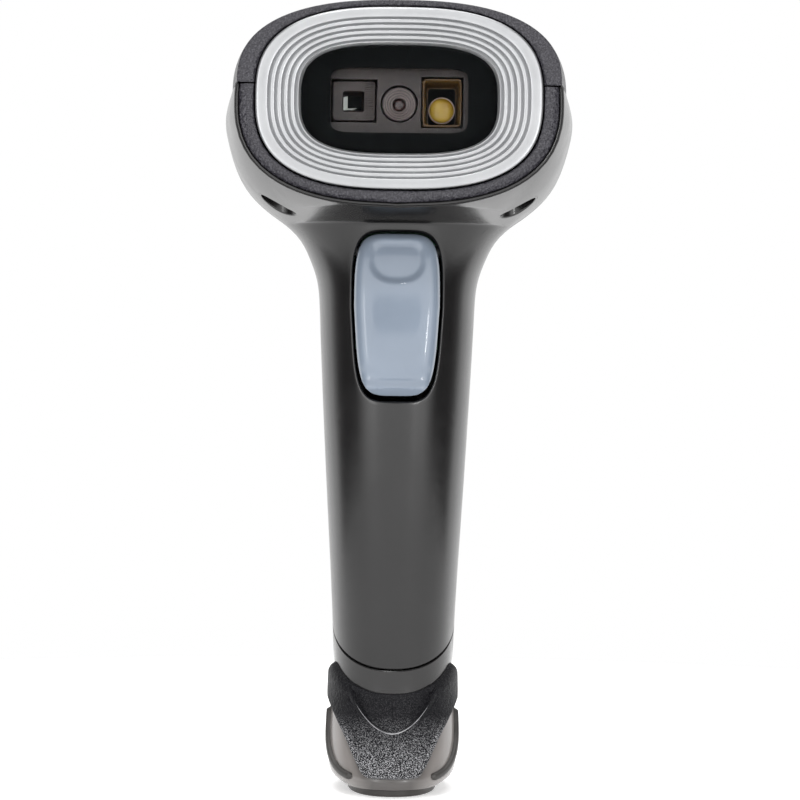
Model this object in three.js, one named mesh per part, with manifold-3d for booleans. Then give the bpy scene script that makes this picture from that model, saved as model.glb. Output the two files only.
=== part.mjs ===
// Handheld two-dimensional barcode scanner, standing upright on its foot.
// Frame: X across, -Y towards the code being scanned, +Z up. The origin is on the flat underside
// of the foot, in front of the cable socket. Millimetres.
import * as THREE from "three";
import { mergeVertices } from "three/addons/utils/BufferGeometryUtils.js";
import Module from "manifold-3d";

const wasm = await Module();
wasm.setup();

// ---- driving dimensions ------------------------------------------------------------------
const GAP = 0.3; // clearance between neighbouring pieces
const WALL = 2.2; // moulded wall thickness
const FRONT = -40; // front plane of the head
const TOP = 160; // highest point of the top cover
const SEAM_Z = 143.4; // joint between the top cover and the shells below it
const REACH = 200; // a length well past the whole scanner, for cutters
const RIM = { halfW: 32, halfH: 20.1, z: 139.9, power: 2.5 }; // front outline of the head
const HEAD = { widestY: -2, back: 25.5, roofStart: -20, roofPower: 2.4 };
const BODY_POWER = 2.25; // roundness of the horizontal sections
const BODY_POINTS = 32; // corners of a horizontal section
const BULKHEAD = { front: FRONT + 2.7, back: FRONT + 4.9 }; // wall behind the bezel
const OPTIC_Z = 140.7; // height of the scan window's centre
const RING = { halfW: 28.2, halfH: 17.8, power: 2.7 }; // outside of the silver bezel
const WINDOW = { halfW: 19.35, halfH: 10.7, power: 3.1 }; // opening in the bezel
const PANE = { halfW: 20.6, halfH: 11.9, power: 3.1, front: FRONT + 2.7, back: FRONT + 4.2 };
const APERTURE = { halfW: 13.6, halfH: 6.4, corner: 1 }; // clear area in the window mask
const SPLIT = { y: 9, slope: -0.11 }; // plane between the front and rear shells
const FOOT_SEAM = { y: -10.9, z: 25.8, slope: 0.575 }; // slanted joint above the foot cap
const TRIGGER = {
  low: 82.4,
  high: 115.2,
  half: 8.65,
  lowHalf: 7.5,
  power: 4.5, // squareness of its outline
  crown: 3.2, // squareness of its sections
  face: -25.2,
  arch: 2.2,
  back: -14.8,
  hollow: -22.4,
};
const TRIGGER_WALL = 1.8;
const POCKET_GAP = 1; // clear space around the trigger
const PIVOT = { y: -16.3, z: 112, pin: 1.25, bore: 1.36, half: 11.6 };
const SWITCH = { z: 104, contactY: -16.1, plunger: 1.2 };
const WELL = { x: 24.2, y: -21.5, radius: 3.5, wall: 1.5, floor: 133 }; // head screw wells
const SOCKET = { y: 9.5, halfW: 5.9, halfD: 3.3, high: 18 }; // cable socket cavity
const MAIN_BOARD = { front: -9, back: -7.4, halfW: 23, low: 127.5, high: 151 };
const BOARD_POST = { x: 19.5, half: 2.1, screwZ: 130 }; // posts that carry the main board
const HANDLE_BOSS = { z: 56, front: 3.2, rear: 4.6, meet: 2.1 }; // screwed joint of the shells
const PILOT = 1.25; // radius of a self-tapping screw's hole

// Horizontal stations of the body below the seam: height, half width, front and back.
const STATIONS = [
  [1.6, 10.4, -14.9, 21.6],
  [3, 12.3, -15.4, 22.6],
  [5, 13.3, -14.8, 23.2],
  [8, 13.6, -13.6, 23.4],
  [13, 13.45, -11.4, 23.4],
  [17, 13.1, -10.6, 23.3],
  [21, 12.5, -10.5, 23.2],
  [28, 12.6, -11.1, 22.9],
  [35, 12.9, -12, 22.3],
  [50, 13.65, -14, 21],
  [69, 14.7, -16.4, 19],
  [85, 15.5, -18.3, 17],
  [100, 16.15, -20, 15.7],
  [106.8, 16.9, -21, 15.4],
  [111, 18.4, -21.7, 15.5],
  [115, 20.6, -22.5, 16],
  [117.6, 23.2, -23, 16.7],
  [119.8, 26.2, FRONT, 17.6],
  [122, 28.9, FRONT, 18.6],
  [125.4, 31.9, FRONT, 20.2],
  [129.5, 33.9, FRONT, 22.4],
  [134, 35.25, FRONT, 24.2],
  [139, 35.8, FRONT, 25.2],
  [SEAM_Z, 34.3, FRONT, HEAD.back],
].map(([z, half, front, back]) => ({ z, half, front, back }));

// ---- solids ------------------------------------------------------------------------------
function toSolid(geometry) {
  const bare = new THREE.BufferGeometry();
  bare.setAttribute("position", geometry.getAttribute("position"));
  bare.setIndex(geometry.index);
  const merged = mergeVertices(bare, 1e-4);
  return new wasm.Manifold(
    new wasm.Mesh({
      numProp: 3,
      vertProperties: merged.attributes.position.array,
      triVerts: new Uint32Array(merged.index.array),
    }),
  );
}

function toGeometry(solid) {
  const { numProp, numVert, vertProperties, triVerts } = solid.getMesh();
  const positions = new Float32Array(numVert * 3);
  for (let i = 0; i < numVert; i += 1) {
    positions.set(vertProperties.subarray(i * numProp, i * numProp + 3), i * 3);
  }
  const geometry = new THREE.BufferGeometry();
  geometry.setAttribute("position", new THREE.BufferAttribute(positions, 3));
  geometry.setIndex(new THREE.BufferAttribute(new Uint32Array(triVerts), 1));
  geometry.computeVertexNormals();
  return geometry;
}

const grow = ([low, high], by) => [low - by, high + by];
const around = (middle, half) => [middle - half, middle + half];
const join = (...solids) => solids.reduce((sum, solid) => sum.add(solid));
const cut = (body, ...tools) => tools.reduce((rest, tool) => rest.subtract(tool), body);

// Closed skin over a list of rings, which all have the same number of points.
function loft(rings) {
  const count = rings[0].length;
  const points = rings.flat();
  const index = [];
  for (let r = 0; r + 1 < rings.length; r += 1) {
    for (let k = 0; k < count; k += 1) {
      const a = r * count + k;
      const b = r * count + ((k + 1) % count);
      index.push(a, b, b + count, a, b + count, a + count);
    }
  }
  [0, rings.length - 1].forEach((r) => {
    const centre = new THREE.Vector3();
    rings[r].forEach((p) => centre.addScaledVector(p, 1 / count));
    const hub = points.push(centre) - 1;
    for (let k = 0; k < count; k += 1) {
      const edge = [r * count + k, r * count + ((k + 1) % count)];
      index.push(hub, ...(r === 0 ? edge.reverse() : edge));
    }
  });
  return outward(points, index);
}

// Turns a closed skin's faces out and returns it as a solid.
function outward(points, index) {
  let volume = 0;
  const cross = new THREE.Vector3();
  for (let i = 0; i < index.length; i += 3) {
    const [a, b, c] = [points[index[i]], points[index[i + 1]], points[index[i + 2]]];
    volume += a.dot(cross.crossVectors(b, c));
  }
  if (volume < 0) index.reverse();
  const geometry = new THREE.BufferGeometry().setFromPoints(points);
  geometry.setIndex(index);
  return toSolid(geometry);
}

function box([x0, x1], [y0, y1], [z0, z1]) {
  const geometry = new THREE.BoxGeometry(x1 - x0, y1 - y0, z1 - z0);
  return toSolid(geometry.translate((x0 + x1) / 2, (y0 + y1) / 2, (z0 + z1) / 2));
}

// Round bar from one point to another.
function bar(from, to, radius, sides = 16) {
  const start = new THREE.Vector3(...from);
  const along = new THREE.Vector3(...to).sub(start);
  const geometry = new THREE.CylinderGeometry(radius, radius, along.length(), sides);
  geometry.translate(0, along.length() / 2, 0);
  const up = new THREE.Vector3(0, 1, 0);
  geometry.applyQuaternion(new THREE.Quaternion().setFromUnitVectors(up, along.normalize()));
  return toSolid(geometry.translate(...from));
}

// The half space that a plane's normal points away from.
function behindPlane([x, y, z], normal) {
  const geometry = new THREE.BoxGeometry(2 * REACH, 2 * REACH, 2 * REACH);
  geometry.translate(0, 0, -REACH);
  const turn = new THREE.Quaternion().setFromUnitVectors(
    new THREE.Vector3(0, 0, 1),
    new THREE.Vector3(...normal).normalize(),
  );
  return toSolid(geometry.applyQuaternion(turn).translate(x, y, z));
}

const signedPower = (value, power) => Math.sign(value) * Math.abs(value) ** (2 / power);

// Superellipse in the XZ plane at depth y, grown by a margin on every side.
function outlineRing({ halfW, halfH, power }, y, centreZ, grow = 0, sides = 40) {
  return Array.from({ length: sides }, (_, k) => {
    const angle = (2 * Math.PI * k) / sides;
    const x = (halfW + grow) * signedPower(Math.cos(angle), power);
    const z = (halfH + grow) * signedPower(Math.sin(angle), power);
    return new THREE.Vector3(x, y, centreZ + z);
  });
}

function outlinePrism(outline, y0, y1, centreZ, grow = 0, sides = 40) {
  return loft([
    outlineRing(outline, y0, centreZ, grow, sides),
    outlineRing(outline, y1, centreZ, grow, sides),
  ]);
}

// Rounded rectangle in the XZ plane, extruded from y0 back to y1.
function roundedBlock(halfW, halfH, corner, [y0, y1], centreZ, centreX = 0) {
  const shape = new THREE.Shape();
  shape.absarc(halfW - corner, halfH - corner, corner, 0, Math.PI / 2);
  shape.absarc(corner - halfW, halfH - corner, corner, Math.PI / 2, Math.PI);
  shape.absarc(corner - halfW, corner - halfH, corner, Math.PI, 1.5 * Math.PI);
  shape.absarc(halfW - corner, corner - halfH, corner, 1.5 * Math.PI, 2 * Math.PI);
  const geometry = new THREE.ExtrudeGeometry(shape, {
    depth: y1 - y0,
    bevelEnabled: false,
    curveSegments: 4,
  });
  return toSolid(geometry.rotateX(Math.PI / 2).translate(centreX, y1, centreZ));
}

// ---- the body's outer form -----------------------------------------------------------------
// Half width of the head's front outline at a height.
function rimHalf(z) {
  const rise = Math.min(1, Math.abs(z - RIM.z) / RIM.halfH);
  return RIM.halfW * (1 - rise ** RIM.power) ** (1 / RIM.power);
}

// A station between two listed ones.
function stationAt(z) {
  const next = STATIONS.findIndex((s) => s.z >= z - 1e-9);
  if (next <= 0) return { ...STATIONS[Math.max(next, 0)], z };
  const [a, b] = [STATIONS[next - 1], STATIONS[next]];
  const share = (z - a.z) / (b.z - a.z);
  const mix = (key) => a[key] + share * (b[key] - a[key]);
  return { z, half: mix("half"), front: mix("front"), back: mix("back") };
}

// Horizontal section. In the head a fuller oval is trimmed flat at the front plane.
function bodyRing({ z, half, front, back }, inset = 0, frontLimit = FRONT) {
  const inHead = front <= FRONT + 1e-6;
  const middle = inHead ? HEAD.widestY : (front + back) / 2;
  const widthShare = Math.min(0.95, rimHalf(z) / half);
  const fullness = (1 - widthShare ** BODY_POWER) ** (1 / BODY_POWER);
  const nose = inHead ? middle - (middle - FRONT) / fullness : front;
  return Array.from({ length: BODY_POINTS }, (_, k) => {
    const angle = (2 * Math.PI * k) / BODY_POINTS;
    const side = signedPower(Math.sin(angle), BODY_POWER);
    const along = signedPower(-Math.cos(angle), BODY_POWER);
    const reach = along < 0 ? middle - nose - inset : back - middle - inset;
    const y = Math.max(middle + reach * along, frontLimit);
    return new THREE.Vector3((half - inset) * side, y, z);
  });
}

// Extra heights where the head's underside rounds into its front outline.
const CHIN_LEVELS = [120.3, 120.9, 123.5, 127.4, 131.7];

function bodyOuter() {
  const heights = [...STATIONS.map((s) => s.z), ...CHIN_LEVELS].sort((a, b) => a - b);
  return loft(heights.map((z) => bodyRing(stationAt(z))));
}

// The hollow inside the body: the outer form one wall further in, with a floor over each ledge.
function bodyHollow() {
  const levels = STATIONS.filter((s, i) => i % 2 === 0 || (s.z > 110 && s.z < 126));
  const rings = levels.map((s) => bodyRing({ ...s }, WALL, BULKHEAD.back));
  rings.forEach((ring) => ring.forEach((p) => p.setZ(p.z + WALL)));
  const lid = rings.at(-1).map((p) => p.clone().setZ(SEAM_Z + WALL));
  return loft([...rings, lid]);
}

// The roof is the front outline's upper part, scaled along the head's plan and side view.
function roofSlice(y, inset, floorZ) {
  const seam = STATIONS.at(-1);
  const rimAtSeam = rimHalf(SEAM_Z);
  const widthShare = rimAtSeam / seam.half;
  const fullness = (1 - widthShare ** BODY_POWER) ** (1 / BODY_POWER);
  const forward = (HEAD.widestY - FRONT) / fullness - inset;
  const reach = y < HEAD.widestY ? forward : HEAD.back - HEAD.widestY - inset;
  const offset = Math.min(1, Math.abs(y - HEAD.widestY) / reach);
  const planHalf = (seam.half - inset) * (1 - offset ** BODY_POWER) ** (1 / BODY_POWER);
  const run = Math.max(0, (y - HEAD.roofStart) / (HEAD.back - inset - HEAD.roofStart));
  const drop = (1 - Math.min(1, run) ** HEAD.roofPower) ** (1 / HEAD.roofPower);
  const rise = (TOP - inset - SEAM_Z) * drop;
  const steps = 16;
  const ring = [];
  for (let k = 0; k <= steps; k += 1) {
    const angle = (Math.PI * k) / steps;
    const x = planHalf * signedPower(Math.cos(angle), RIM.power);
    const lift = rise * signedPower(Math.sin(angle), RIM.power);
    ring.push(new THREE.Vector3(x, y, SEAM_Z + lift));
  }
  ring.push(new THREE.Vector3(-planHalf, y, floorZ), new THREE.Vector3(planHalf, y, floorZ));
  return ring;
}

// Depths of the roof's slices: even at the front and closer together towards the round back.
function roofDepths(front, back) {
  const straight = [front, front + 11, front + 22, HEAD.widestY];
  const round = Array.from({ length: 7 }, (_, k) => {
    const angle = (Math.PI / 2) * ((k + 1) / 7.3);
    return HEAD.widestY + (back - HEAD.widestY) * Math.sin(angle);
  });
  return [...straight, ...round];
}

function roof(front, inset, floorZ) {
  const depths = roofDepths(front, HEAD.back - inset);
  return loft(depths.map((y) => roofSlice(y, inset, floorZ)));
}

const splitFront = (gap) =>
  behindPlane([0, SPLIT.y - gap, 0], [0, 1, -SPLIT.slope]);
const aboveFoot = (gap) =>
  behindPlane([0, FOOT_SEAM.y, FOOT_SEAM.z + gap], [0, FOOT_SEAM.slope, -1]);

// ---- housing -------------------------------------------------------------------------------
// Half width of the trigger at a height, seen from the front.
function triggerHalf(z, grow = 0) {
  const middle = (TRIGGER.low + TRIGGER.high) / 2;
  const reach = (TRIGGER.high - TRIGGER.low) / 2 + grow;
  const share = Math.min(1, Math.abs(z - middle) / reach);
  const taper = THREE.MathUtils.clamp((z - TRIGGER.low) / 18, 0, 1);
  const half = THREE.MathUtils.lerp(TRIGGER.lowHalf, TRIGGER.half, taper) + grow;
  return half * (1 - share ** TRIGGER.power) ** (1 / TRIGGER.power);
}

// Heights of the trigger's sections, closer together at its round ends.
function triggerLevels(grow = 0) {
  const middle = (TRIGGER.low + TRIGGER.high) / 2;
  const reach = (TRIGGER.high - TRIGGER.low) / 2 + grow;
  const count = 10;
  return Array.from({ length: count + 1 }, (_, k) => {
    return middle - 0.995 * reach * Math.cos((Math.PI * k) / count);
  });
}

function triggerPocket() {
  const rings = triggerLevels(POCKET_GAP).map((z) => {
    const half = triggerHalf(z, POCKET_GAP);
    return [
      [-half, FRONT],
      [half, FRONT],
      [half, PIVOT.y + 6],
      [-half, PIVOT.y + 6],
    ].map(([x, y]) => new THREE.Vector3(x, y, z));
  });
  return loft(rings);
}

function makeFrontShell() {
  const lid = box([-REACH, REACH], [-REACH, REACH], [SEAM_Z - GAP / 2, REACH]);
  const outer = bodyOuter();
  const skin = cut(outer, bodyHollow());
  const wells = [-1, 1].map((side) =>
    bar([side * WELL.x, WELL.y, 112], [side * WELL.x, WELL.y, WELL.floor + 1.7],
      WELL.radius + WELL.wall),
  );
  const ears = [-1, 1].map((side) =>
    box(around(side * 11, 1.2), [FRONT, -13.4], [PIVOT.z - 3, PIVOT.z + 3.2]),
  );
  const posts = [-1, 1].map((side) =>
    box(around(side * BOARD_POST.x, BOARD_POST.half), [-14.2, MAIN_BOARD.front - GAP], [116, 132.6]),
  );
  const boss = bar([0, -20, HANDLE_BOSS.z], [0, HANDLE_BOSS.meet - GAP, HANDLE_BOSS.z],
    HANDLE_BOSS.front);
  const body = join(skin, outer.intersect(join(...wells, ...ears, ...posts, boss)));
  const drills = [-1, 1].flatMap((side) => [
    bar([side * WELL.x, WELL.y, 100], [side * WELL.x, WELL.y, WELL.floor], WELL.radius, 20),
    bar([side * WELL.x, WELL.y, 100], [side * WELL.x, WELL.y, SEAM_Z], 1.7),
    bar([side * BOARD_POST.x, -13.5, BOARD_POST.screwZ], [side * BOARD_POST.x, 0, BOARD_POST.screwZ],
      PILOT, 12),
  ]);
  return cut(
    body.intersect(splitFront(GAP / 2)).intersect(aboveFoot(GAP / 2)),
    lid,
    outlinePrism(RIM, FRONT - 5, BULKHEAD.front, RIM.z, -0.7),
    outlinePrism(PANE, FRONT, FRONT + 8, OPTIC_Z, 2 * GAP),
    triggerPocket(),
    bar([-PIVOT.half - GAP, PIVOT.y, PIVOT.z], [PIVOT.half + GAP, PIVOT.y, PIVOT.z], PIVOT.bore),
    bar([0, -12, HANDLE_BOSS.z], [0, 10, HANDLE_BOSS.z], PILOT, 12),
    ...drills,
  );
}

function makeRearShell() {
  const lid = box([-REACH, REACH], [-REACH, REACH], [SEAM_Z - GAP / 2, REACH]);
  const outer = bodyOuter();
  const boss = bar([0, HANDLE_BOSS.meet + GAP, HANDLE_BOSS.z], [0, 22, HANDLE_BOSS.z],
    HANDLE_BOSS.rear);
  const body = join(cut(outer, bodyHollow()), outer.intersect(boss));
  return cut(
    body.intersect(aboveFoot(GAP / 2)),
    splitFront(-GAP / 2),
    lid,
    bar([0, 0, HANDLE_BOSS.z], [0, 8, HANDLE_BOSS.z], 1.7, 12),
    bar([0, 8, HANDLE_BOSS.z], [0, 30, HANDLE_BOSS.z], 3.1, 20),
  );
}

function makeTopCover() {
  const bottom = SEAM_Z + GAP / 2;
  const shell = cut(roof(FRONT, 0, bottom), roof(BULKHEAD.back, WALL, SEAM_Z - 5));
  const posts = [-1, 1].map((side) =>
    bar([side * WELL.x, WELL.y, WELL.floor + 2], [side * WELL.x, WELL.y, TOP], 3, 14),
  );
  const held = join(...posts).intersect(
    join(roof(FRONT, 0, bottom), box([-REACH, REACH], [-REACH, REACH], [0, SEAM_Z + 1])),
  );
  const pilots = [-1, 1].map((side) =>
    bar([side * WELL.x, WELL.y, 100], [side * WELL.x, WELL.y, 150], 1.6, 12),
  );
  return cut(
    join(shell, held),
    outlinePrism(RING, FRONT - 5, BULKHEAD.front, OPTIC_Z, GAP),
    outlinePrism(PANE, FRONT, FRONT + 8, OPTIC_Z, 2 * GAP),
    box([-2, 2], [-6.6, -1.8], [150, REACH]),
    ...pilots,
  );
}

// Textured bumper that fills the front face of the head below the seam.
function makeNoseBumper() {
  const face = outlinePrism(RIM, FRONT, BULKHEAD.front - GAP, RIM.z, -1, 48);
  return cut(
    face,
    box([-REACH, REACH], [-REACH, REACH], [SEAM_Z - GAP / 2, REACH]),
    outlinePrism(RING, FRONT - 5, FRONT + 8, OPTIC_Z, GAP),
  );
}

// ---- scan window ---------------------------------------------------------------------------
// Bezel profile from its outer edge (0) to the window (1) with the depth behind the front plane.
function bezelProfile() {
  const profile = [
    [0, 2.4],
    [0, -0.3],
    [0.06, -0.8],
    [0.3, -0.8],
  ];
  const grooves = 5;
  const pitch = 0.62 / grooves;
  for (let k = 0; k < grooves; k += 1) {
    const start = 0.33 + k * pitch;
    const depth = -0.7 + 0.36 * k;
    profile.push([start, depth + 0.45], [start + 0.45 * pitch, depth]);
  }
  profile.push([0.95, 1.15], [1, 1.7], [1, 2.4]);
  return profile;
}

function makeBezelRing() {
  const sides = 40;
  const outer = outlineRing(RING, 0, OPTIC_Z, 0, sides);
  const inner = outlineRing(WINDOW, 0, OPTIC_Z, 0, sides);
  const profile = bezelProfile();
  const points = [];
  for (let k = 0; k < sides; k += 1) {
    profile.forEach(([share, depth]) => {
      points.push(outer[k].clone().lerp(inner[k], share).setY(FRONT + depth));
    });
  }
  const index = [];
  const count = profile.length;
  for (let k = 0; k < sides; k += 1) {
    for (let i = 0; i < count; i += 1) {
      const a = k * count + i;
      const b = k * count + ((i + 1) % count);
      const next = (n) => (n + count) % (sides * count);
      index.push(a, b, next(b), a, next(b), next(a));
    }
  }
  return outward(points, index);
}

const makeWindowPane = () => outlinePrism(PANE, PANE.front, PANE.back, OPTIC_Z);

function makeWindowMask() {
  const y = [PANE.back + GAP, PANE.back + GAP + 0.6];
  const sheet = outlinePrism(PANE, ...y, OPTIC_Z);
  const { halfW, halfH, corner } = APERTURE;
  return cut(sheet, roundedBlock(halfW, halfH, corner, [FRONT, FRONT + 9], OPTIC_Z));
}

function makeGasket() {
  const y = [FRONT + 5.4, FRONT + 7.6];
  const outer = roundedBlock(APERTURE.halfW + 3, APERTURE.halfH + 3, 2, y, OPTIC_Z);
  const inner = roundedBlock(APERTURE.halfW + 0.6, APERTURE.halfH + 0.6, 1.2,
    [FRONT, FRONT + 9], OPTIC_Z);
  return cut(outer, inner);
}

// ---- scan engine ---------------------------------------------------------------------------
const ENGINE = { front: FRONT + 8, back: FRONT + 22, halfW: 16, low: 132.2, high: 149.2 };
const LENS_Z = 140.35;
const AIMER = { x: [-13.3, -4.7], z: [136.9, 144.9], back: FRONT + 18 };
const CUP = { x: [4.6, 12.4], z: [135.9, 145.5], back: FRONT + 17.4 };
const LED = { x: 8.5, z: 139.7, radius: 2.65 };
const ENGINE_SCREW = { x: 14.2, z: 147 };

function makeChassis() {
  const block = box([-ENGINE.halfW, ENGINE.halfW], [ENGINE.front, ENGINE.back],
    [ENGINE.low, ENGINE.high]);
  return cut(
    block,
    box(grow(AIMER.x, GAP), [FRONT, AIMER.back + GAP], grow(AIMER.z, GAP)),
    box(grow(CUP.x, GAP), [FRONT, CUP.back + GAP], grow(CUP.z, GAP)),
    bar([0, FRONT, LENS_Z], [0, 0, LENS_Z], 3.75, 24),
    ...[-1, 1].map((side) =>
      bar([side * ENGINE_SCREW.x, ENGINE.back - 5, ENGINE_SCREW.z],
        [side * ENGINE_SCREW.x, 0, ENGINE_SCREW.z], PILOT, 12),
    ),
  );
}

function makeLensBarrel() {
  const back = ENGINE.front + 11.5;
  const barrel = bar([0, ENGINE.front + 0.5, LENS_Z], [0, back, LENS_Z], 3.45, 24);
  const mouth = bar([0, FRONT, LENS_Z], [0, ENGINE.front + 2, LENS_Z], 2.6, 24);
  const bore = bar([0, FRONT, LENS_Z], [0, 0, LENS_Z], 1.9, 20);
  return cut(barrel, mouth, bore);
}

// A convex lens facing the target.
function makeLensGlass() {
  const y = ENGINE.front + 3;
  const profile = Array.from({ length: 7 }, (_, k) => {
    const angle = (Math.PI * k) / 6;
    return [1.55 * Math.sin(angle), -0.7 * Math.cos(angle)];
  });
  profile[0][0] = 0;
  profile[6][0] = 0;
  const geometry = new THREE.LatheGeometry(profile.map((p) => new THREE.Vector2(...p)), 20);
  return toSolid(geometry.translate(0, y, LENS_Z));
}

function makeAimerBlock() {
  const block = box(AIMER.x, [ENGINE.front + 0.5, AIMER.back], AIMER.z);
  return cut(block, box([-11.2, -7], [FRONT, AIMER.back - 1], [138.8, 142.8]));
}

function makeReflectorCup() {
  const front = ENGINE.front + 0.5;
  const block = box(CUP.x, [front, CUP.back], CUP.z);
  const ring = (half, y) =>
    [[-1, -1], [1, -1], [1, 1], [-1, 1]].map(([u, v]) =>
      new THREE.Vector3(LED.x + u * half, y, (CUP.z[0] + CUP.z[1]) / 2 + v * (half + 0.7)));
  const hollow = loft([ring(3.5, front - 1), ring(3.5, front), ring(3.1, CUP.back - 1.2)]);
  return cut(block, hollow);
}

function makeIlluminationLed() {
  const back = CUP.back - 1.2 - GAP;
  const profile = [[0, 0], [LED.radius, 0], [LED.radius, 1.2]];
  for (let k = 1; k <= 5; k += 1) {
    const angle = (Math.PI / 2) * (k / 5);
    profile.push([k === 5 ? 0 : LED.radius * Math.cos(angle), 1.2 + 1.6 * Math.sin(angle)]);
  }
  const geometry = new THREE.LatheGeometry(profile.map((p) => new THREE.Vector2(...p)), 20);
  return toSolid(geometry.rotateX(Math.PI).translate(LED.x, back, LED.z));
}

// Sheet metal angle under and behind the engine, with a window for the flex.
function makeEngineBracket() {
  const back = box([-19, 19], [FRONT + 24.1, FRONT + 25.3], [130.4, 150]);
  const shelf = box([-19, 19], [FRONT + 9, FRONT + 25.3], [130.4, 131.6]);
  return cut(
    join(back, shelf),
    box([-7.5, 7.5], [FRONT + 22, FRONT + 30], [133.2, 136.4]),
    ...[-1, 1].map((side) =>
      bar([side * ENGINE_SCREW.x, 0, ENGINE_SCREW.z],
        [side * ENGINE_SCREW.x, FRONT, ENGINE_SCREW.z], 1.4, 12),
    ),
  );
}

// Pan-head screw: where its head bears, the direction its shank goes in, and its sizes.
function screw(bearing, direction, { shank, length, head, thickness }) {
  const at = (distance) =>
    bearing.map((value, axis) => value + distance * direction[axis]);
  const cap = bar(at(-thickness), at(0), head, 20);
  const slot = (a, b) => {
    const centre = new THREE.Vector3(...at(-thickness));
    const spread = [0, 1, 2].map((axis) => (direction[axis] !== 0 ? 0.5 : axis === a ? 1.4 : b));
    return box(...[0, 1, 2].map((axis) => around(centre.getComponent(axis), spread[axis])));
  };
  const [first, second] = [0, 1, 2].filter((axis) => direction[axis] === 0);
  const cross = join(slot(first, 0.3), slot(second, 0.3));
  return join(bar(at(-0.05), at(length), shank, 12), cut(cap, cross));
}

// ---- trigger -------------------------------------------------------------------------------
// Front of the trigger at a height: a gentle arch, proudest a little below its middle.
function triggerFront(z) {
  const share = (z - TRIGGER.low) / (TRIGGER.high - TRIGGER.low);
  return TRIGGER.face - TRIGGER.arch * Math.sin(Math.PI * Math.min(1, 0.18 + 0.8 * share));
}

// Outer form of the trigger's moulding, crowned at the front and flat at the back.
function triggerForm() {
  const steps = 10;
  const rings = triggerLevels().map((z) => {
    const half = triggerHalf(z);
    const depth = TRIGGER.back - triggerFront(z);
    const round = half / TRIGGER.half;
    const ring = [];
    for (let k = 0; k <= steps; k += 1) {
      const angle = (Math.PI * k) / steps;
      const x = half * signedPower(Math.cos(angle), TRIGGER.crown);
      const out = signedPower(Math.sin(angle), TRIGGER.crown);
      ring.push(new THREE.Vector3(x, TRIGGER.back - depth * (0.72 + 0.28 * out * round), z));
    }
    ring.push(new THREE.Vector3(-half, TRIGGER.back, z), new THREE.Vector3(half, TRIGGER.back, z));
    return ring;
  });
  return loft(rings);
}

// Hollow behind the trigger's face, open at the back.
function triggerHollow() {
  const rings = triggerLevels(-TRIGGER_WALL).map((z) => {
    const half = triggerHalf(z, -TRIGGER_WALL);
    return [
      [-half, TRIGGER.hollow],
      [half, TRIGGER.hollow],
      [half, PIVOT.y + 6],
      [-half, PIVOT.y + 6],
    ].map(([x, y]) => new THREE.Vector3(x, y, z));
  });
  return loft(rings);
}

function makeTriggerKey() {
  const knuckles = [-1, 1].map((side) =>
    bar([side * 3.2, PIVOT.y, PIVOT.z], [side * 7.2, PIVOT.y, PIVOT.z], 2.8),
  );
  const webs = [-1, 1].map((side) =>
    box(around(side * 5.2, 2), [-23, PIVOT.y], [109.6, 112.6]),
  );
  const rib = box([-2.5, 2.5], [-23, SWITCH.contactY], [98, 107.5]);
  return cut(
    join(cut(triggerForm(), triggerHollow()), ...knuckles, ...webs, rib),
    bar([-3, PIVOT.y, PIVOT.z], [3, PIVOT.y, PIVOT.z], 2.7),
    bar([-20, PIVOT.y, PIVOT.z], [20, PIVOT.y, PIVOT.z], PIVOT.bore),
  );
}

const makeTriggerPin = () =>
  bar([-PIVOT.half, PIVOT.y, PIVOT.z], [PIVOT.half, PIVOT.y, PIVOT.z], PIVOT.pin);

// Torsion spring around the pin, as the outside of its closed coils with its fixed leg.
function makeTriggerSpring() {
  const coil = bar([-2.6, PIVOT.y, PIVOT.z], [2.6, PIVOT.y, PIVOT.z], 2.3);
  const leg = bar([-2.2, PIVOT.y, PIVOT.z - 1.9], [-2.2, -11.6, PIVOT.z - 1.9], 0.35, 8);
  const bore = bar([-9, PIVOT.y, PIVOT.z], [9, PIVOT.y, PIVOT.z], PIVOT.bore + 0.2);
  return cut(join(coil, leg), bore);
}

function makeSwitchBody() {
  const block = box([-3, 3], [-14.6, -11.5], [SWITCH.z - 3, SWITCH.z + 3]);
  return cut(block, bar([0, -20, SWITCH.z], [0, -11.9, SWITCH.z], SWITCH.plunger + GAP));
}

const makeSwitchPlunger = () =>
  bar([0, SWITCH.contactY + GAP, SWITCH.z], [0, -12.8, SWITCH.z], SWITCH.plunger);

// ---- foot ----------------------------------------------------------------------------------
const socketHole = (low, high, grown = 0) =>
  box([-SOCKET.halfW - grown, SOCKET.halfW + grown],
    [SOCKET.y - SOCKET.halfD - grown, SOCKET.y + SOCKET.halfD + grown], [low, high]);

function makeFootCap() {
  const body = cut(bodyOuter(), bodyHollow(), aboveFoot(-GAP / 2));
  return cut(body, socketHole(0, 7, GAP));
}

// Grown copy of the foot's outer form, for the textured guard over it.
function footForm(grown) {
  const levels = STATIONS.filter((s) => s.z >= 3 && s.z <= 50);
  return loft(levels.map((s) => bodyRing(s, -grown)));
}

// Side-view outline (depth, height) pushed across the scanner between two x values.
function sidePrism(shape, [x0, x1], curveSegments = 4) {
  const geometry = new THREE.ExtrudeGeometry(shape, {
    depth: x1 - x0,
    bevelEnabled: false,
    curveSegments,
  });
  const turn = new THREE.Matrix4().makeBasis(
    new THREE.Vector3(0, 1, 0),
    new THREE.Vector3(0, 0, 1),
    new THREE.Vector3(1, 0, 0),
  );
  return toSolid(geometry.applyMatrix4(turn).translate(x0, 0, 0));
}

// The guard from the side: a shield low on the front that sweeps up and back to round ears.
function guardOutline() {
  const shape = new THREE.Shape();
  shape.moveTo(FRONT, 4);
  shape.lineTo(-13.4, 4);
  shape.quadraticCurveTo(-8.6, 14.6, 1.6, 18.4);
  shape.bezierCurveTo(6.4, 20, 6.6, 28.6, 2.4, 28.2);
  shape.lineTo(-10.8, 20.8);
  shape.lineTo(FRONT, 20.8);
  return shape;
}

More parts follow.
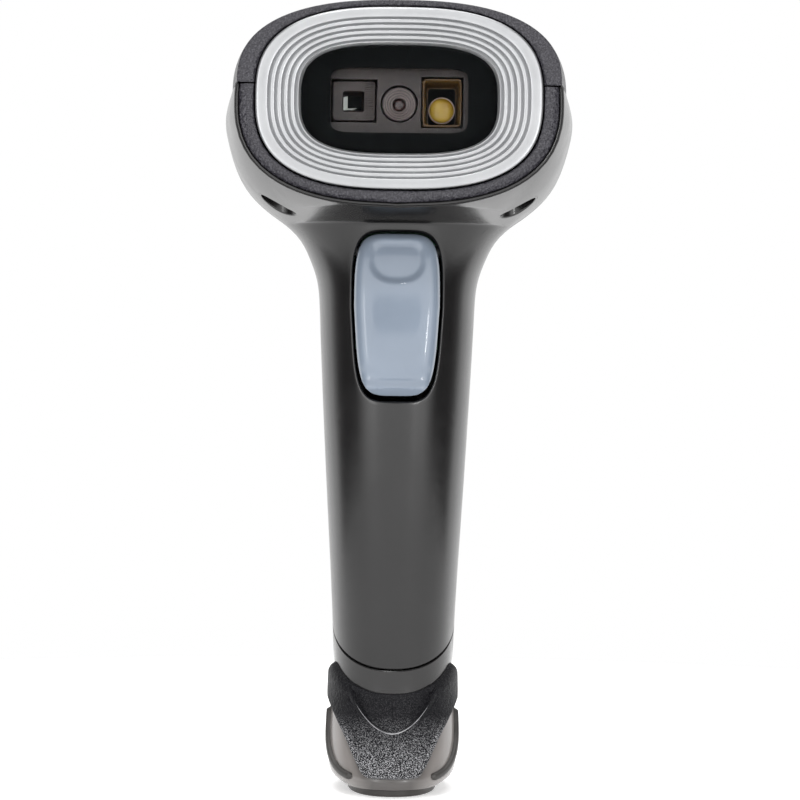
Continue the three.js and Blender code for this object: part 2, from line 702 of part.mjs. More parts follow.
function makeFootGuard() {
  const mask = sidePrism(guardOutline(), [-REACH, REACH]);
  return cut(footForm(1.5), footForm(GAP)).intersect(mask);
}

// Band of constant width along a side-view curve, with round ends.
function ribbonOutline(curve, halfWidth, steps = 8) {
  const sideOf = (t, sign) => {
    const tangent = curve.getTangent(t);
    const point = curve.getPoint(t);
    return new THREE.Vector2(
      point.x - sign * halfWidth * tangent.y,
      point.y + sign * halfWidth * tangent.x,
    );
  };
  const shares = Array.from({ length: steps + 1 }, (_, k) => k / steps);
  const tip = (t, sign) => {
    const tangent = curve.getTangent(t).multiplyScalar(sign * halfWidth);
    return curve.getPoint(t).add(tangent);
  };
  return new THREE.Shape([
    ...shares.map((t) => sideOf(t, -1)),
    tip(1, 1),
    ...shares.reverse().map((t) => sideOf(t, 1)),
    tip(0, -1),
  ]);
}

// Rubber strip that climbs from the foot's lower front corner up each side.
function makeFootStrip(side) {
  const curve = new THREE.SplineCurve(
    [[-11.7, 4.1], [-9, 4.8], [-5, 6.6], [-1, 9.8], [1.6, 13.8], [2.6, 17]]
      .map(([y, z]) => new THREE.Vector2(y, z)),
  );
  const span = side > 0 ? [3, REACH] : [-REACH, -3];
  const mask = sidePrism(ribbonOutline(curve, 0.75), span);
  return cut(footForm(0.9), footForm(GAP)).intersect(mask);
}

function makeBasePlate() {
  const ring = (z, inset) =>
    bodyRing({ z, half: 9.2, front: -13.4, back: 20.4 }, inset);
  const plate = loft([ring(0, 0.4), ring(0.4, 0), ring(1.3, 0)]);
  return cut(plate, socketHole(-1, 5, GAP));
}

function makeSocketHousing() {
  const block = box([-SOCKET.halfW - 1.5, SOCKET.halfW + 1.5],
    [SOCKET.y - SOCKET.halfD - 1.5, SOCKET.y + SOCKET.halfD + 1.5], [5.8, SOCKET.high + 2]);
  return cut(block, socketHole(0, SOCKET.high));
}

const makeContactComb = () =>
  box([-4.6, 4.6], [SOCKET.y + 2.1, SOCKET.y + SOCKET.halfD - GAP], [8, SOCKET.high - GAP]);

// ---- boards --------------------------------------------------------------------------------
function makeMainBoard() {
  const { front, back, halfW, low, high } = MAIN_BOARD;
  const board = box([-halfW, halfW], [front, back], [low, high]);
  const holes = [-1, 1].map((side) =>
    bar([side * BOARD_POST.x, -20, BOARD_POST.screwZ], [side * BOARD_POST.x, 0, BOARD_POST.screwZ],
      1.5, 12),
  );
  return cut(board, ...holes);
}

const rearFace = MAIN_BOARD.back + GAP;

// The lead from the main board to the socket, held inside the handle.
function makeHarness() {
  const route = new THREE.CatmullRomCurve3([
    new THREE.Vector3(0, -3.2, 126.6),
    new THREE.Vector3(0, 0.5, 112),
    new THREE.Vector3(5.4, 2.5, 84),
    new THREE.Vector3(7.6, 4.8, 58),
    new THREE.Vector3(4.6, 8, 36),
    new THREE.Vector3(0.4, SOCKET.y, 25),
    new THREE.Vector3(0, SOCKET.y, SOCKET.high + 2 + 2 * GAP),
  ]);
  const section = new THREE.Shape().absarc(0, 0, 1.7, 0, 2 * Math.PI);
  return toSolid(
    new THREE.ExtrudeGeometry(section, {
      steps: 20,
      curveSegments: 4,
      extrudePath: route,
      bevelEnabled: false,
    }),
  );
}

// ---- assembly ------------------------------------------------------------------------------
const finish = (color, roughness, metalness = 0) =>
  new THREE.MeshStandardMaterial({ color, roughness, metalness });

const MATERIALS = {
  gloss: finish(0x3b3838, 0.3),
  textured: finish(0x2b2b2f, 0.65),
  silver: finish(0xc4c6c9, 0.4, 0.6),
  trigger: finish(0x9aabbf, 0.35),
  rubber: finish(0x1d1c1e, 0.8),
  mask: finish(0x080a0b, 0.3),
  glass: finish(0x9fb0b8, 0.05),
  steel: finish(0x9a9da1, 0.3, 0.9),
  black: finish(0x141416, 0.6),
  board: finish(0x1d5a36, 0.5),
  amber: finish(0xd8b423, 0.3),
  foam: finish(0x26262a, 0.95),
  copper: finish(0xb8793a, 0.4, 0.8),
  clear: finish(0xe6ece8, 0.1),
};

const scanner = new THREE.Group();

function add(name, material, solid) {
  const mesh = new THREE.Mesh(toGeometry(solid), MATERIALS[material]);
  mesh.name = name;
  scanner.add(mesh);
}

function addHousing() {
  add("top_cover", "textured", makeTopCover());
  add("front_shell", "gloss", makeFrontShell());
  add("rear_shell", "gloss", makeRearShell());
  add("nose_bumper", "textured", makeNoseBumper());
  const size = { shank: 1.25, length: 14, head: 2.6, thickness: 1.8 };
  [["left", -1], ["right", 1]].forEach(([name, side]) => {
    const bearing = [side * WELL.x, WELL.y, WELL.floor - GAP];
    add(`head_screw_${name}`, "steel", screw(bearing, [0, 0, 1], size));
  });
  const handleSize = { shank: 0.95, length: 13, head: 2.6, thickness: 1.8 };
  add("handle_screw", "steel", screw([0, 8 + GAP, HANDLE_BOSS.z], [0, -1, 0], handleSize));
}

function addWindow() {
  add("bezel_ring", "silver", makeBezelRing());
  add("window_pane", "glass", makeWindowPane());
  add("window_mask", "mask", makeWindowMask());
  add("engine_gasket", "foam", makeGasket());
}

function addEngine() {
  add("engine_chassis", "black", makeChassis());
  add("lens_barrel", "black", makeLensBarrel());
  add("objective_lens", "glass", makeLensGlass());
  const sensorFront = ENGINE.back - 1.8;
  add("image_sensor", "mask",
    box([-2.6, 2.6], [sensorFront, sensorFront + 1], [LENS_Z - 2, LENS_Z + 2]));
  add("aimer_block", "black", makeAimerBlock());
  add("aimer_lens", "clear", box([-10.9, -7.3], [FRONT + 12.5, FRONT + 13.7], [139.1, 142.5]));
  add("aimer_led", "clear", box([-10, -8.2], [FRONT + 15.4, FRONT + 16.7], [139.9, 141.7]));
  add("reflector_cup", "amber", makeReflectorCup());
  add("illumination_led", "amber", makeIlluminationLed());
  add("engine_board", "board", box([-12.5, 12.5], [FRONT + 22.3, FRONT + 23.3], [133, 148.6]));
  add("engine_bracket", "steel", makeEngineBracket());
  add("engine_flex", "copper", box([-6, 6], [FRONT + 23.6, FRONT + 28.8], [134.5, 134.9]));
  const size = { shank: 0.95, length: 6, head: 2, thickness: 1.2 };
  [["left", -1], ["right", 1]].forEach(([name, side]) => {
    const bearing = [side * ENGINE_SCREW.x, FRONT + 25.3 + GAP, ENGINE_SCREW.z];
    add(`engine_screw_${name}`, "steel", screw(bearing, [0, -1, 0], size));
  });
}

function addTrigger() {
  add("trigger_key", "trigger", makeTriggerKey());
  add("trigger_pin", "steel", makeTriggerPin());
  add("trigger_spring", "steel", makeTriggerSpring());
  add("switch_body", "black", makeSwitchBody());
  add("switch_plunger", "amber", makeSwitchPlunger());
  add("switch_board", "board", box([-8.5, 8.5], [-11.2, -9.9], [92, 116]));
}

function addBoards() {
  add("main_board", "board", makeMainBoard());
  add("decoder_chip", "black", box([-8, 4], [rearFace, rearFace + 1.2], [136, 148]));
  add("memory_chip", "black", box([8, 16], [rearFace, rearFace + 1], [138, 146]));
  add("flex_connector", "clear",
    box([-6.5, 6.5], [MAIN_BOARD.front - 2, MAIN_BOARD.front - GAP], [133.2, 136.2]));
  add("harness_plug", "clear", box([-5, 5], [rearFace, rearFace + 4.4], [127.8, 133.6]));
  add("buzzer", "black", bar([-14, rearFace, 139], [-14, rearFace + 3.6, 139], 4.5, 24));
  add("status_led", "clear", box([-1, 1], [rearFace, rearFace + 1.4], [148.9, 150.5]));
  add("light_pipe", "clear", box([-1.7, 1.7], [-6.3, -2.1], [151.2, 159]));
  const size = { shank: 0.95, length: 5.4, head: 2.2, thickness: 1.3 };
  [["left", -1], ["right", 1]].forEach(([name, side]) => {
    const bearing = [side * BOARD_POST.x, MAIN_BOARD.back + GAP, BOARD_POST.screwZ];
    add(`board_screw_${name}`, "steel", screw(bearing, [0, -1, 0], size));
  });
  add("cable_harness", "rubber", makeHarness());
}

function addFoot() {
  add("foot_cap", "gloss", makeFootCap());
  add("foot_guard", "textured", makeFootGuard());
  add("foot_strip_left", "rubber", makeFootStrip(-1));
  add("foot_strip_right", "rubber", makeFootStrip(1));
  add("base_plate", "rubber", makeBasePlate());
  add("socket_housing", "black", makeSocketHousing());
  add("contact_comb", "copper", makeContactComb());
}

addHousing();
addWindow();
addEngine();
addTrigger();
addBoards();
addFoot();

export default scanner;
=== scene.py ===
"""Handheld barcode scanner, standing on its foot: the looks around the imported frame.

Shapes are worked out in millimetres in the frame's own axes and become metres in Skin.thing.
"""
import math

import bmesh
import bpy
import numpy as np
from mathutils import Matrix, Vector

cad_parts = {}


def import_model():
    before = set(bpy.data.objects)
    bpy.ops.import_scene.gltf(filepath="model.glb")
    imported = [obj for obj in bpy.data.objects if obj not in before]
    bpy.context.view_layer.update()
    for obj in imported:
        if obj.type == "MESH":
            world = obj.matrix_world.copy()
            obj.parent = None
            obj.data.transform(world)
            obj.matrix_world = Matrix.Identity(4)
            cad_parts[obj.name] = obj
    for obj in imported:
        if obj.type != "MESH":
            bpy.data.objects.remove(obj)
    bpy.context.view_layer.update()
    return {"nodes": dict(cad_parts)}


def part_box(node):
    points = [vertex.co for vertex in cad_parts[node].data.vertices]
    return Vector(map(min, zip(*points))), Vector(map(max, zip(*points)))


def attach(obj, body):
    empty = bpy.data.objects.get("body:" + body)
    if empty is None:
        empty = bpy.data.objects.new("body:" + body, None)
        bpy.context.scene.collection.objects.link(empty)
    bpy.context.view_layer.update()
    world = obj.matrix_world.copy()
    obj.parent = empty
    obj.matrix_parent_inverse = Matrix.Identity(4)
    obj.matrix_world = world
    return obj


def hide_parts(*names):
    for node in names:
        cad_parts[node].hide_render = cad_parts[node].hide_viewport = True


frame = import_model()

MM = 0.001

# ---- driving sizes, in millimetres, as in the frame ------------------------------------------
GAP = 0.3
SKIN = 0.6  # thickness of the visible shells, less than the smallest rounding can hide
FRONT = -40.0
TOP = 160.0
SEAM_Z = 143.4
CREASE_Z, LIP_Z = 117.6, 119.8  # the head's underside runs forward between these heights
RIM = {"half_w": 32.0, "half_h": 20.1, "z": 139.9, "power": 2.5}
WIDEST_Y, HEAD_BACK, ROOF_START, ROOF_POWER = -2.0, 25.5, -20.0, 2.4
BODY_POWER = 2.25
OPTIC_Z = 140.7
RING = {"half_w": 28.2, "half_h": 17.8, "z": OPTIC_Z, "power": 2.7}
WINDOW = {"half_w": 19.35, "half_h": 10.7, "z": OPTIC_Z, "power": 3.1}
PANE = {"half_w": 20.6, "half_h": 11.9, "z": OPTIC_Z, "power": 3.1}
APERTURE = {"half_w": 13.6, "half_h": 6.4}
SPLIT = {"y": 9.0, "slope": -0.11}  # joint between the front and rear shells
FOOT_SEAM = {"y": -10.9, "z": 25.8, "slope": 0.575}
TRIGGER = {"low": 82.4, "high": 115.2, "half": 8.65, "low_half": 7.5, "power": 4.5}
TRIGGER_FACE, TRIGGER_ARCH, TRIGGER_BACK = -25.2, 2.2, -14.8
POCKET = {"low": 76.5, "columns": 36, "floor": -13.0}  # grid cells left out, and the floor's y
POCKET_GAP = {"side": 0.6, "top": 0.5, "bottom": 1.1}
WELL = {"x": 24.2, "y": -21.5, "radius": 3.5, "floor": 132.9}
HANDLE_SCREW = {"z": 56.0, "radius": 3.1, "cut": (8.0, 40.0)}
SOCKET = {"y": 9.5, "half_w": 6.2, "half_d": 3.6, "power": 6}
EDGE = 0.2  # softening of a moulded edge at a joint
WELD, THINNEST = 2e-6, 1e-7  # metres: corners this near are one, and shorter edges go

HANDLE_MIDDLE = [0, 4, 0]  # in plan, a point inside every section of the body

# The body's horizontal sections: height, half width, foremost y and rearmost y.
STATIONS = np.array([
    [1.6, 10.4, -14.9, 21.6],
    [3, 12.3, -15.4, 22.6],
    [5, 13.3, -14.8, 23.2],
    [8, 13.6, -13.6, 23.4],
    [13, 13.45, -11.4, 23.4],
    [17, 13.1, -10.6, 23.3],
    [21, 12.5, -10.5, 23.2],
    [28, 12.6, -11.1, 22.9],
    [35, 12.9, -12, 22.3],
    [50, 13.65, -14, 21],
    [69, 14.7, -16.4, 19],
    [85, 15.5, -18.3, 17],
    [100, 16.15, -20, 15.7],
    [106.8, 16.9, -21, 15.4],
    [111, 18.4, -21.7, 15.5],
    [115, 20.6, -22.5, 16],
    [117.6, 23.2, -23, 16.7],
    [119.8, 26.2, FRONT, 17.6],
    [122, 28.9, FRONT, 18.6],
    [125.4, 31.9, FRONT, 20.2],
    [129.5, 33.9, FRONT, 22.4],
    [134, 35.2, FRONT, 24.2],
    [139, 35.72, FRONT, 25.2],
    [SEAM_Z, 34.3, FRONT, HEAD_BACK],
])


# ---- curves ------------------------------------------------------------------------------------
class Curve:
    """Natural cubic curve through points: one measure of the body against height."""

    def __init__(self, x, y):
        self.x, self.y = np.array(x, float), np.array(y, float)
        step, count = np.diff(self.x), len(self.x)
        matrix, right = np.eye(count), np.zeros(count)
        for i in range(1, count - 1):
            matrix[i, i - 1:i + 2] = step[i - 1], 2 * (step[i - 1] + step[i]), step[i]
            slopes = np.diff(self.y[i - 1:i + 2]) / step[i - 1:i + 1]
            right[i] = 6 * (slopes[1] - slopes[0])
        self.bend = np.linalg.solve(matrix, right)

    def __call__(self, value):
        value = np.clip(value, self.x[0], self.x[-1])
        i = np.clip(np.searchsorted(self.x, value) - 1, 0, len(self.x) - 2)
        step = self.x[i + 1] - self.x[i]
        p, q = (self.x[i + 1] - value) / step, (value - self.x[i]) / step
        bends = (p**3 - p) * self.bend[i] + (q**3 - q) * self.bend[i + 1]
        return p * self.y[i] + q * self.y[i + 1] + bends * step**2 / 6


NECK = STATIONS[:, 0] <= CREASE_Z
HALF = Curve(STATIONS[:, 0], STATIONS[:, 1])
BACK = Curve(STATIONS[:, 0], STATIONS[:, 3])
NECK_FRONT = Curve(STATIONS[NECK, 0], STATIONS[NECK, 2])


def power(value, exponent):
    return np.sign(value) * np.abs(value) ** (2 / exponent)


def lerp(a, b, share):
    return a + (b - a) * share


def smooth(low, high, value):
    share = np.clip((value - low) / (high - low), 0, 1)
    return share * share * (3 - 2 * share)


def bisect(test, low, high, steps=40):
    """Where a rising test passes zero, for arrays of brackets."""
    low, high = np.array(low, float), np.array(high, float)
    for _ in range(steps):
        middle = (low + high) / 2
        over = test(middle) > 0
        high, low = np.where(over, middle, high), np.where(over, low, middle)
    return (low + high) / 2


def around(sides):
    """Angles evenly round a full turn."""
    return np.linspace(0, 2 * math.pi, sides, endpoint=False)


def reach_of(turn, exponent):
    """Distance from the middle to a unit superellipse, in the directions of turn."""
    return (np.abs(np.cos(turn)) ** exponent + np.abs(np.sin(turn)) ** exponent) ** (-1 / exponent)


def outline(shape, angle, grow=0.0):
    """Point of a superellipse in the front view, at an angle from +X."""
    x = (shape["half_w"] + grow) * power(np.cos(angle), shape["power"])
    z = shape["z"] + (shape["half_h"] + grow) * power(np.sin(angle), shape["power"])
    return x, z


def stack(*columns):
    return np.stack(np.broadcast_arrays(*columns), -1).astype(float)


# ---- the body's form -----------------------------------------------------------------------------
def rim_half(z):
    rise = np.minimum(1, np.abs(z - RIM["z"]) / RIM["half_h"])
    return RIM["half_w"] * (1 - rise ** RIM["power"]) ** (1 / RIM["power"])


def oval(angle, half, middle, nose, back):
    """Horizontal section: angle 0 looks forward, 90 degrees to the right."""
    side, along = power(np.sin(angle), BODY_POWER), power(-np.cos(angle), BODY_POWER)
    return half * side, middle + np.where(along < 0, middle - nose, back - middle) * along


def fullness(z, half):
    share = np.minimum(0.95, rim_half(z) / half)
    return (1 - share**BODY_POWER) ** (1 / BODY_POWER)


def sharp_body(angle, z):
    half, back = HALF(z), BACK(z)
    front = NECK_FRONT(z)
    x, neck = oval(angle, half, (front + back) / 2, front, back)
    nose = WIDEST_Y - (WIDEST_Y - FRONT) / fullness(z, half)
    head = oval(angle, half, WIDEST_Y, nose, back)[1]
    share = np.clip((z - CREASE_Z) / (LIP_Z - CREASE_Z), 0, 1)
    return stack(x, lerp(neck, head, share), z)


FILLET = (0.6, 0.1)  # how far the crease's rounding reaches below and above it


def body(angle, z):
    """Point on the body's outside, with the crease under the head rounded."""
    angle, z = np.broadcast_arrays(np.asarray(angle, float), np.asarray(z, float))
    below, above = FILLET
    start = CREASE_Z - below
    inside = np.clip(z - start, 0, below + above)
    s = (-below + np.sqrt(below**2 + (above - below) * inside)) / (above - below)
    s = np.clip(s, 0, 1)[..., None]
    corner = [sharp_body(angle, np.full_like(z, level))
              for level in (start, CREASE_Z, CREASE_Z + above)]
    round_part = (1 - s) ** 2 * corner[0] + 2 * s * (1 - s) * corner[1] + s**2 * corner[2]
    in_fillet = ((z > start) & (z < CREASE_Z + above))[..., None]
    return np.where(in_fillet, round_part, sharp_body(angle, z))


def outward_of(angle, z, step=1e-3):
    """Unit normals of the body, pointing away from the middle of the handle."""
    along = body(angle + step, z) - body(angle - step, z)
    across = body(angle, z + step) - body(angle, z - step)
    cross = np.cross(along, across)
    cross /= np.maximum(np.linalg.norm(cross, axis=-1, keepdims=True), 1e-12)
    away = body(angle, z) * [1, 1, 0] - HANDLE_MIDDLE
    return cross * np.sign(np.sum(cross * away, -1, keepdims=True))


def split_y(z):
    return SPLIT["y"] + SPLIT["slope"] * z


def foot_seam_z(angle):
    """Height of the slanted joint above the foot cap at an angle round the body."""
    z = np.full_like(np.asarray(angle, float), 30.0)
    for _ in range(12):
        z = FOOT_SEAM["z"] + FOOT_SEAM["slope"] * (body(angle, z)[..., 1] - FOOT_SEAM["y"])
    return z


def split_angle(z, gap):
    target = split_y(z) + gap
    return bisect(lambda a: body(a, z)[..., 1] - target, np.zeros_like(z), np.full_like(z, math.pi))


# ---- mesh building -------------------------------------------------------------------------------
class Skin:
    """Collects quads in millimetres and makes one smooth piece of them."""

    def __init__(self):
        self.points, self.faces, self.count = [], [], 0

    def grid(self, points, holes=(), closed=False):
        """A sheet of rows by columns, without the cells of each hole (r0, r1, c0, c1)."""
        rows, columns = points.shape[:2]
        r, c = np.mgrid[0:rows - 1, 0:columns if closed else columns - 1]
        keep = np.ones(r.shape, bool)
        for r0, r1, c0, c1 in holes:
            keep &= ~((r >= r0) & (r < r1) & (c >= c0) & (c < c1))
        r, c = r[keep], c[keep]
        nxt = (c + 1) % columns
        quads = np.stack([r * columns + c, r * columns + nxt,
                          (r + 1) * columns + nxt, (r + 1) * columns + c], -1)
        self.points.append(points.reshape(-1, 3))
        self.faces.append(quads + self.count)
        self.count += rows * columns
        return self

    def mirror(self):
        points, faces = np.concatenate(self.points), np.concatenate(self.faces)
        self.points.append(points * [-1, 1, 1])
        self.faces.append(faces[:, ::-1] + self.count)
        self.count += len(points)
        return self

    def thing(self, name, fill=False):
        """One welded mesh object of the quads, in metres, with its faces turned outwards."""
        points, faces = np.concatenate(self.points), np.concatenate(self.faces)
        mesh = bpy.data.meshes.new(name)
        mesh.from_pydata((points * MM).tolist(), [], faces.tolist())
        tool = bmesh.new()
        tool.from_mesh(mesh)
        bmesh.ops.remove_doubles(tool, verts=tool.verts, dist=WELD)
        bmesh.ops.dissolve_degenerate(tool, edges=tool.edges, dist=THINNEST)
        if fill:
            bmesh.ops.holes_fill(tool, edges=[e for e in tool.edges if e.is_boundary], sides=0)
        bmesh.ops.recalc_face_normals(tool, faces=tool.faces)
        if turned_in(tool):
            bmesh.ops.reverse_faces(tool, faces=tool.faces)
        tool.to_mesh(mesh)
        tool.free()
        thing = bpy.data.objects.new(name, mesh)
        bpy.context.scene.collection.objects.link(thing)
        return thing

    def piece(self, name, node, slot, body_name="housing", wall=None, sharp=38, fill=False,
              finish=None):
        """A piece riding on a body, in place of a CAD node where it names one.

        wall: thickness given to an open sheet. sharp: angle in degrees that still shades smooth.
        """
        thing = self.thing(name, fill)
        if wall:
            thicken = thing.modifiers.new("wall", "SOLIDIFY")
            thicken.thickness, thicken.offset = wall * MM, -1
        settle(thing, sharp)
        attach(thing, body_name)
        if node:
            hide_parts(*([node] if isinstance(node, str) else node))
        thing.data.materials.clear()
        thing.data.materials.append(finish_for(finish or slot))
        return thing


def turned_in(tool):
    """Whether more of a mesh's area faces its middle than away from it."""
    corners = [v.co for v in tool.verts]
    centre = sum(corners, start=corners[0] * 0) / len(corners)
    area = sum(f.calc_area() * f.normal.dot(f.calc_center_median() - centre) for f in tool.faces)
    return area < 0


def settle(thing, sharp=38):
    """Applies the modifiers and shades smooth between edges sharper than an angle."""
    graph = bpy.context.evaluated_depsgraph_get()
    mesh = bpy.data.meshes.new_from_object(thing.evaluated_get(graph))
    thing.modifiers.clear()
    thing.data = mesh
    mesh.shade_smooth()
    mesh.set_sharp_from_angle(angle=math.radians(sharp))


def carve(thing, rings):
    """Cuts the closed solid through rings of points out of a piece, then shades it again."""
    cutter = Skin().grid(np.array(rings), closed=True).thing("cutter", fill=True)
    cut = thing.modifiers.new("cut", "BOOLEAN")
    cut.operation, cut.solver, cut.object = "DIFFERENCE", "EXACT", cutter
    settle(thing)
    bpy.data.objects.remove(cutter)


def capped(rings):
    """Rings with an almost closed one before the first and after the last."""
    first, last = [lerp(ring, ring.mean(0), 0.999) for ring in (rings[0], rings[-1])]
    return np.array([first, *rings, last])


def hole_loops(points, hole, plane, lift, rim, lip, inward, depths, closed):
    """Rings of points from a hole's place in a grid to its rim, over a round lip and in.

    plane: the two axes of the view that the rim is drawn in. lift: such a view's points to the
    surface. rim(direction, grow): the rim's points in directions given in that view.
    """
    r0, r1, c0, c1 = hole
    sides = [points[r1, c0:c1 + 1], points[r0:r1, c1][::-1], points[r0, c0:c1][::-1]]
    if closed:
        sides.append(points[r0 + 1:r1, c0])
    outer = np.concatenate(sides)
    flat = outer[:, plane]
    first = rim(flat, lip)
    loops = [outer]
    for share in (0.12, 0.28, 0.45, 0.62, 0.78, 0.9, 1.0):
        loops.append(lift(lerp(flat, first, share)))
    corner = lift(rim(flat, 0.0))
    inward = np.array(inward, float)
    turn = corner + inward * lip
    for s in (0.2, 0.4, 0.6, 0.8, 1.0):
        loops.append((1 - s) ** 2 * loops[7] + 2 * s * (1 - s) * corner + s**2 * turn)
    axis = int(np.argmax(np.abs(inward)))
    for share in depths:
        deep = turn.copy()
        deep[:, axis] = lerp(turn[:, axis], share[0], share[1])
        loops.append(deep)
    return np.array(loops)


# ---- materials -----------------------------------------------------------------------------------
class Nodes:
    """A material's node tree, with short ways to add and join nodes."""

    def __init__(self, name):
        self.material = bpy.data.materials.new(name)
        self.material.use_nodes = True
        self.tree = self.material.node_tree
        self.shader = self.tree.nodes["Principled BSDF"]
        self.place = self.add("ShaderNodeTexCoord").outputs["Object"]

    def add(self, kind, **values):
        node = self.tree.nodes.new(kind)
        for key, value in values.items():
            socket = node.inputs.get(key.replace("_", " ")) if key[0].isupper() else None
            if socket is not None:
                socket.default_value = value
            else:
                setattr(node, key, value)
        return node

    def join(self, output, target):
        self.tree.links.new(output, target)
        return self

    def noise(self, scale, detail=3.0, roughness=0.55):
        node = self.add("ShaderNodeTexNoise", Scale=scale, Detail=detail, Roughness=roughness)
        self.join(self.place, node.inputs["Vector"])
        return node.outputs["Fac"]

    def cells(self, scale, feature="F1"):
        node = self.add("ShaderNodeTexVoronoi", Scale=scale)
        node.feature = feature
        self.join(self.place, node.inputs["Vector"])
        return node

    def spread(self, value, low, high, start=0.3, end=0.7):
        """A value's range from start to end becomes low to high."""
        node = self.add("ShaderNodeMapRange")
        for key, number in (("From Min", start), ("From Max", end), ("To Min", low), ("To Max", high)):
            node.inputs[key].default_value = number
        self.join(value, node.inputs["Value"])
        return node.outputs["Result"]

    def mix(self, share, first, second):
        node = self.add("ShaderNodeMix")
        node.data_type = "RGBA"
        self.join(share, node.inputs["Factor"])
        for socket, colour in ((node.inputs[6], first), (node.inputs[7], second)):
            if isinstance(colour, tuple):
                socket.default_value = (*colour, 1.0)
            else:
                self.join(colour, socket)
        return node.outputs[2]

    def bump(self, height, strength, distance, under=None):
        node = self.add("ShaderNodeBump", Strength=strength, Distance=distance)
        self.join(height, node.inputs["Height"])
        if under is not None:
            self.join(under, node.inputs["Normal"])
        return node.outputs["Normal"]

    def set(self, **values):
        for key, value in values.items():
            socket = self.shader.inputs[key.replace("_", " ")]
            if isinstance(value, bpy.types.NodeSocket):
                self.join(value, socket)
            elif isinstance(value, tuple):
                socket.default_value = (*value, 1.0) if len(value) == 3 else value
            else:
                socket.default_value = value
        return self


def gloss_housing():
    """Glossy black moulding: a faint orange peel, slight tone drift and rubbed patches."""
    n = Nodes("gloss_housing")
    grain = n.noise(2600.0, 2.0)
    broad = n.noise(55.0, 2.0)
    peel = n.bump(n.noise(420.0, 1.0), 0.10, 0.00006)
    n.set(Base_Color=n.mix(n.spread(broad, 0, 1), (0.0080, 0.0077, 0.0078), (0.0110, 0.0105, 0.0106)),
          Roughness=n.spread(n.noise(160.0), 0.15, 0.22), IOR=1.5,
          Normal=n.bump(grain, 0.05, 0.00003, peel))
    return n.material


def textured_plastic():
    """Spark-eroded black moulding: fine pits, with scattered lighter grains painted as glints off them."""
    n = Nodes("textured_plastic")
    pits = n.cells(1250.0)
    grain = n.noise(2600.0, 2.0)
    height = n.add("ShaderNodeMath")
    height.operation = "ADD"
    n.join(pits.outputs["Distance"], height.inputs[0]).join(grain, height.inputs[1])
    # lighter grains at random: painted glints of the light off the pits
    tone = n.spread(n.noise(3000.0, 2.0), 0, 1, 0.45, 0.70)
    n.set(Base_Color=n.mix(tone, (0.016, 0.015, 0.020), (0.062, 0.060, 0.070)),
          Roughness=n.spread(n.noise(900.0), 0.26, 0.42), IOR=1.5, Specular_IOR_Level=0.36,
          Normal=n.bump(height.outputs[0], 0.85, 0.00022))
    return n.material


def foot_gloss():
    """The housing's gloss, turning to a warmer grey low on the sides and round the toe."""
    n = Nodes("foot_gloss")
    parts = n.add("ShaderNodeSeparateXYZ")
    n.join(n.place, parts.inputs[0])
    side = n.add("ShaderNodeMath", operation="ABSOLUTE")
    n.join(parts.outputs["X"], side.inputs[0])
    low = n.spread(parts.outputs["Z"], 1.0, 0.0, 0.0165, 0.0215)
    out = n.spread(side.outputs[0], 0.36, 1.0, 0.004, 0.0085)
    share = n.add("ShaderNodeMath", operation="MULTIPLY")
    n.join(low, share.inputs[0]).join(out, share.inputs[1])
    n.set(Base_Color=n.mix(share.outputs[0], (0.014, 0.0134, 0.0134), (0.225, 0.208, 0.198)),
          Roughness=n.spread(n.noise(160.0), 0.16, 0.24), IOR=1.5,
          Normal=n.bump(n.noise(2600.0, 2.0), 0.05, 0.00003))
    return n.material


def foot_texture():
    """Dark moulding of the foot guard, coarser towards its toe and along its lower edge, with bright grains
    painted there as glints of the light from above.
    """
    n = Nodes("foot_texture")
    parts = n.add("ShaderNodeSeparateXYZ")
    n.join(n.place, parts.inputs[0])
    pits = n.cells(1500.0)
    grain = n.noise(5200.0, 2.0)
    # painted glints: bright grains low on the toe, whose slope faces the light from above
    toe = n.spread(parts.outputs["Z"], 1.0, 0.06, 0.0065, 0.0165)
    side = n.add("ShaderNodeMath", operation="ABSOLUTE")
    n.join(parts.outputs["X"], side.inputs[0])
    slanted = n.add("ShaderNodeMath", operation="MULTIPLY_ADD")
    n.join(parts.outputs["Z"], slanted.inputs[0]).join(side.outputs[0], slanted.inputs[2])
    slanted.inputs[1].default_value = -0.4545
    # more painted glints along the lower edges of the V, where a highlight runs
    edge = n.spread(slanted.outputs[0], 0.0, 1.0, 0.0029, 0.0033)
    below = n.spread(parts.outputs["Z"], 1.0, 0.0, 0.012, 0.0165)
    rim = n.add("ShaderNodeMath", operation="MULTIPLY")
    n.join(edge, rim.inputs[0]).join(below, rim.inputs[1])
    painted_glint = n.spread(grain, 0.0, 1.0, 0.50, 0.62)
    place = n.add("ShaderNodeMath", operation="MAXIMUM")
    n.join(toe, place.inputs[0]).join(rim.outputs[0], place.inputs[1])
    share = n.add("ShaderNodeMath", operation="MULTIPLY")
    n.join(painted_glint, share.inputs[0]).join(place.outputs[0], share.inputs[1])
    height = n.add("ShaderNodeMath", operation="ADD")
    n.join(pits.outputs["Distance"], height.inputs[0]).join(grain, height.inputs[1])
    # the light tone is the painted glints, not a colour of the moulding
    n.set(Base_Color=n.mix(share.outputs[0], (0.0055, 0.0054, 0.0068), (0.42, 0.42, 0.435)),
          Roughness=n.spread(n.noise(900.0), 0.36, 0.5), IOR=1.5, Specular_IOR_Level=0.08,
          Normal=n.bump(height.outputs[0], 0.5, 0.00016))
    return n.material


def silver_bezel():
    """Silver paint with fine flake."""
    n = Nodes("silver_bezel")
    flake = n.cells(3800.0)
    cloud = n.noise(120.0)
    n.set(Base_Color=n.mix(n.spread(cloud, 0, 1), (0.345, 0.35, 0.358), (0.39, 0.395, 0.403)),
          Metallic=0.8, Roughness=n.spread(flake.outputs["Distance"], 0.30, 0.40, 0.0, 1.0),
          Normal=n.bump(flake.outputs["Distance"], 0.16, 0.00004))
    return n.material


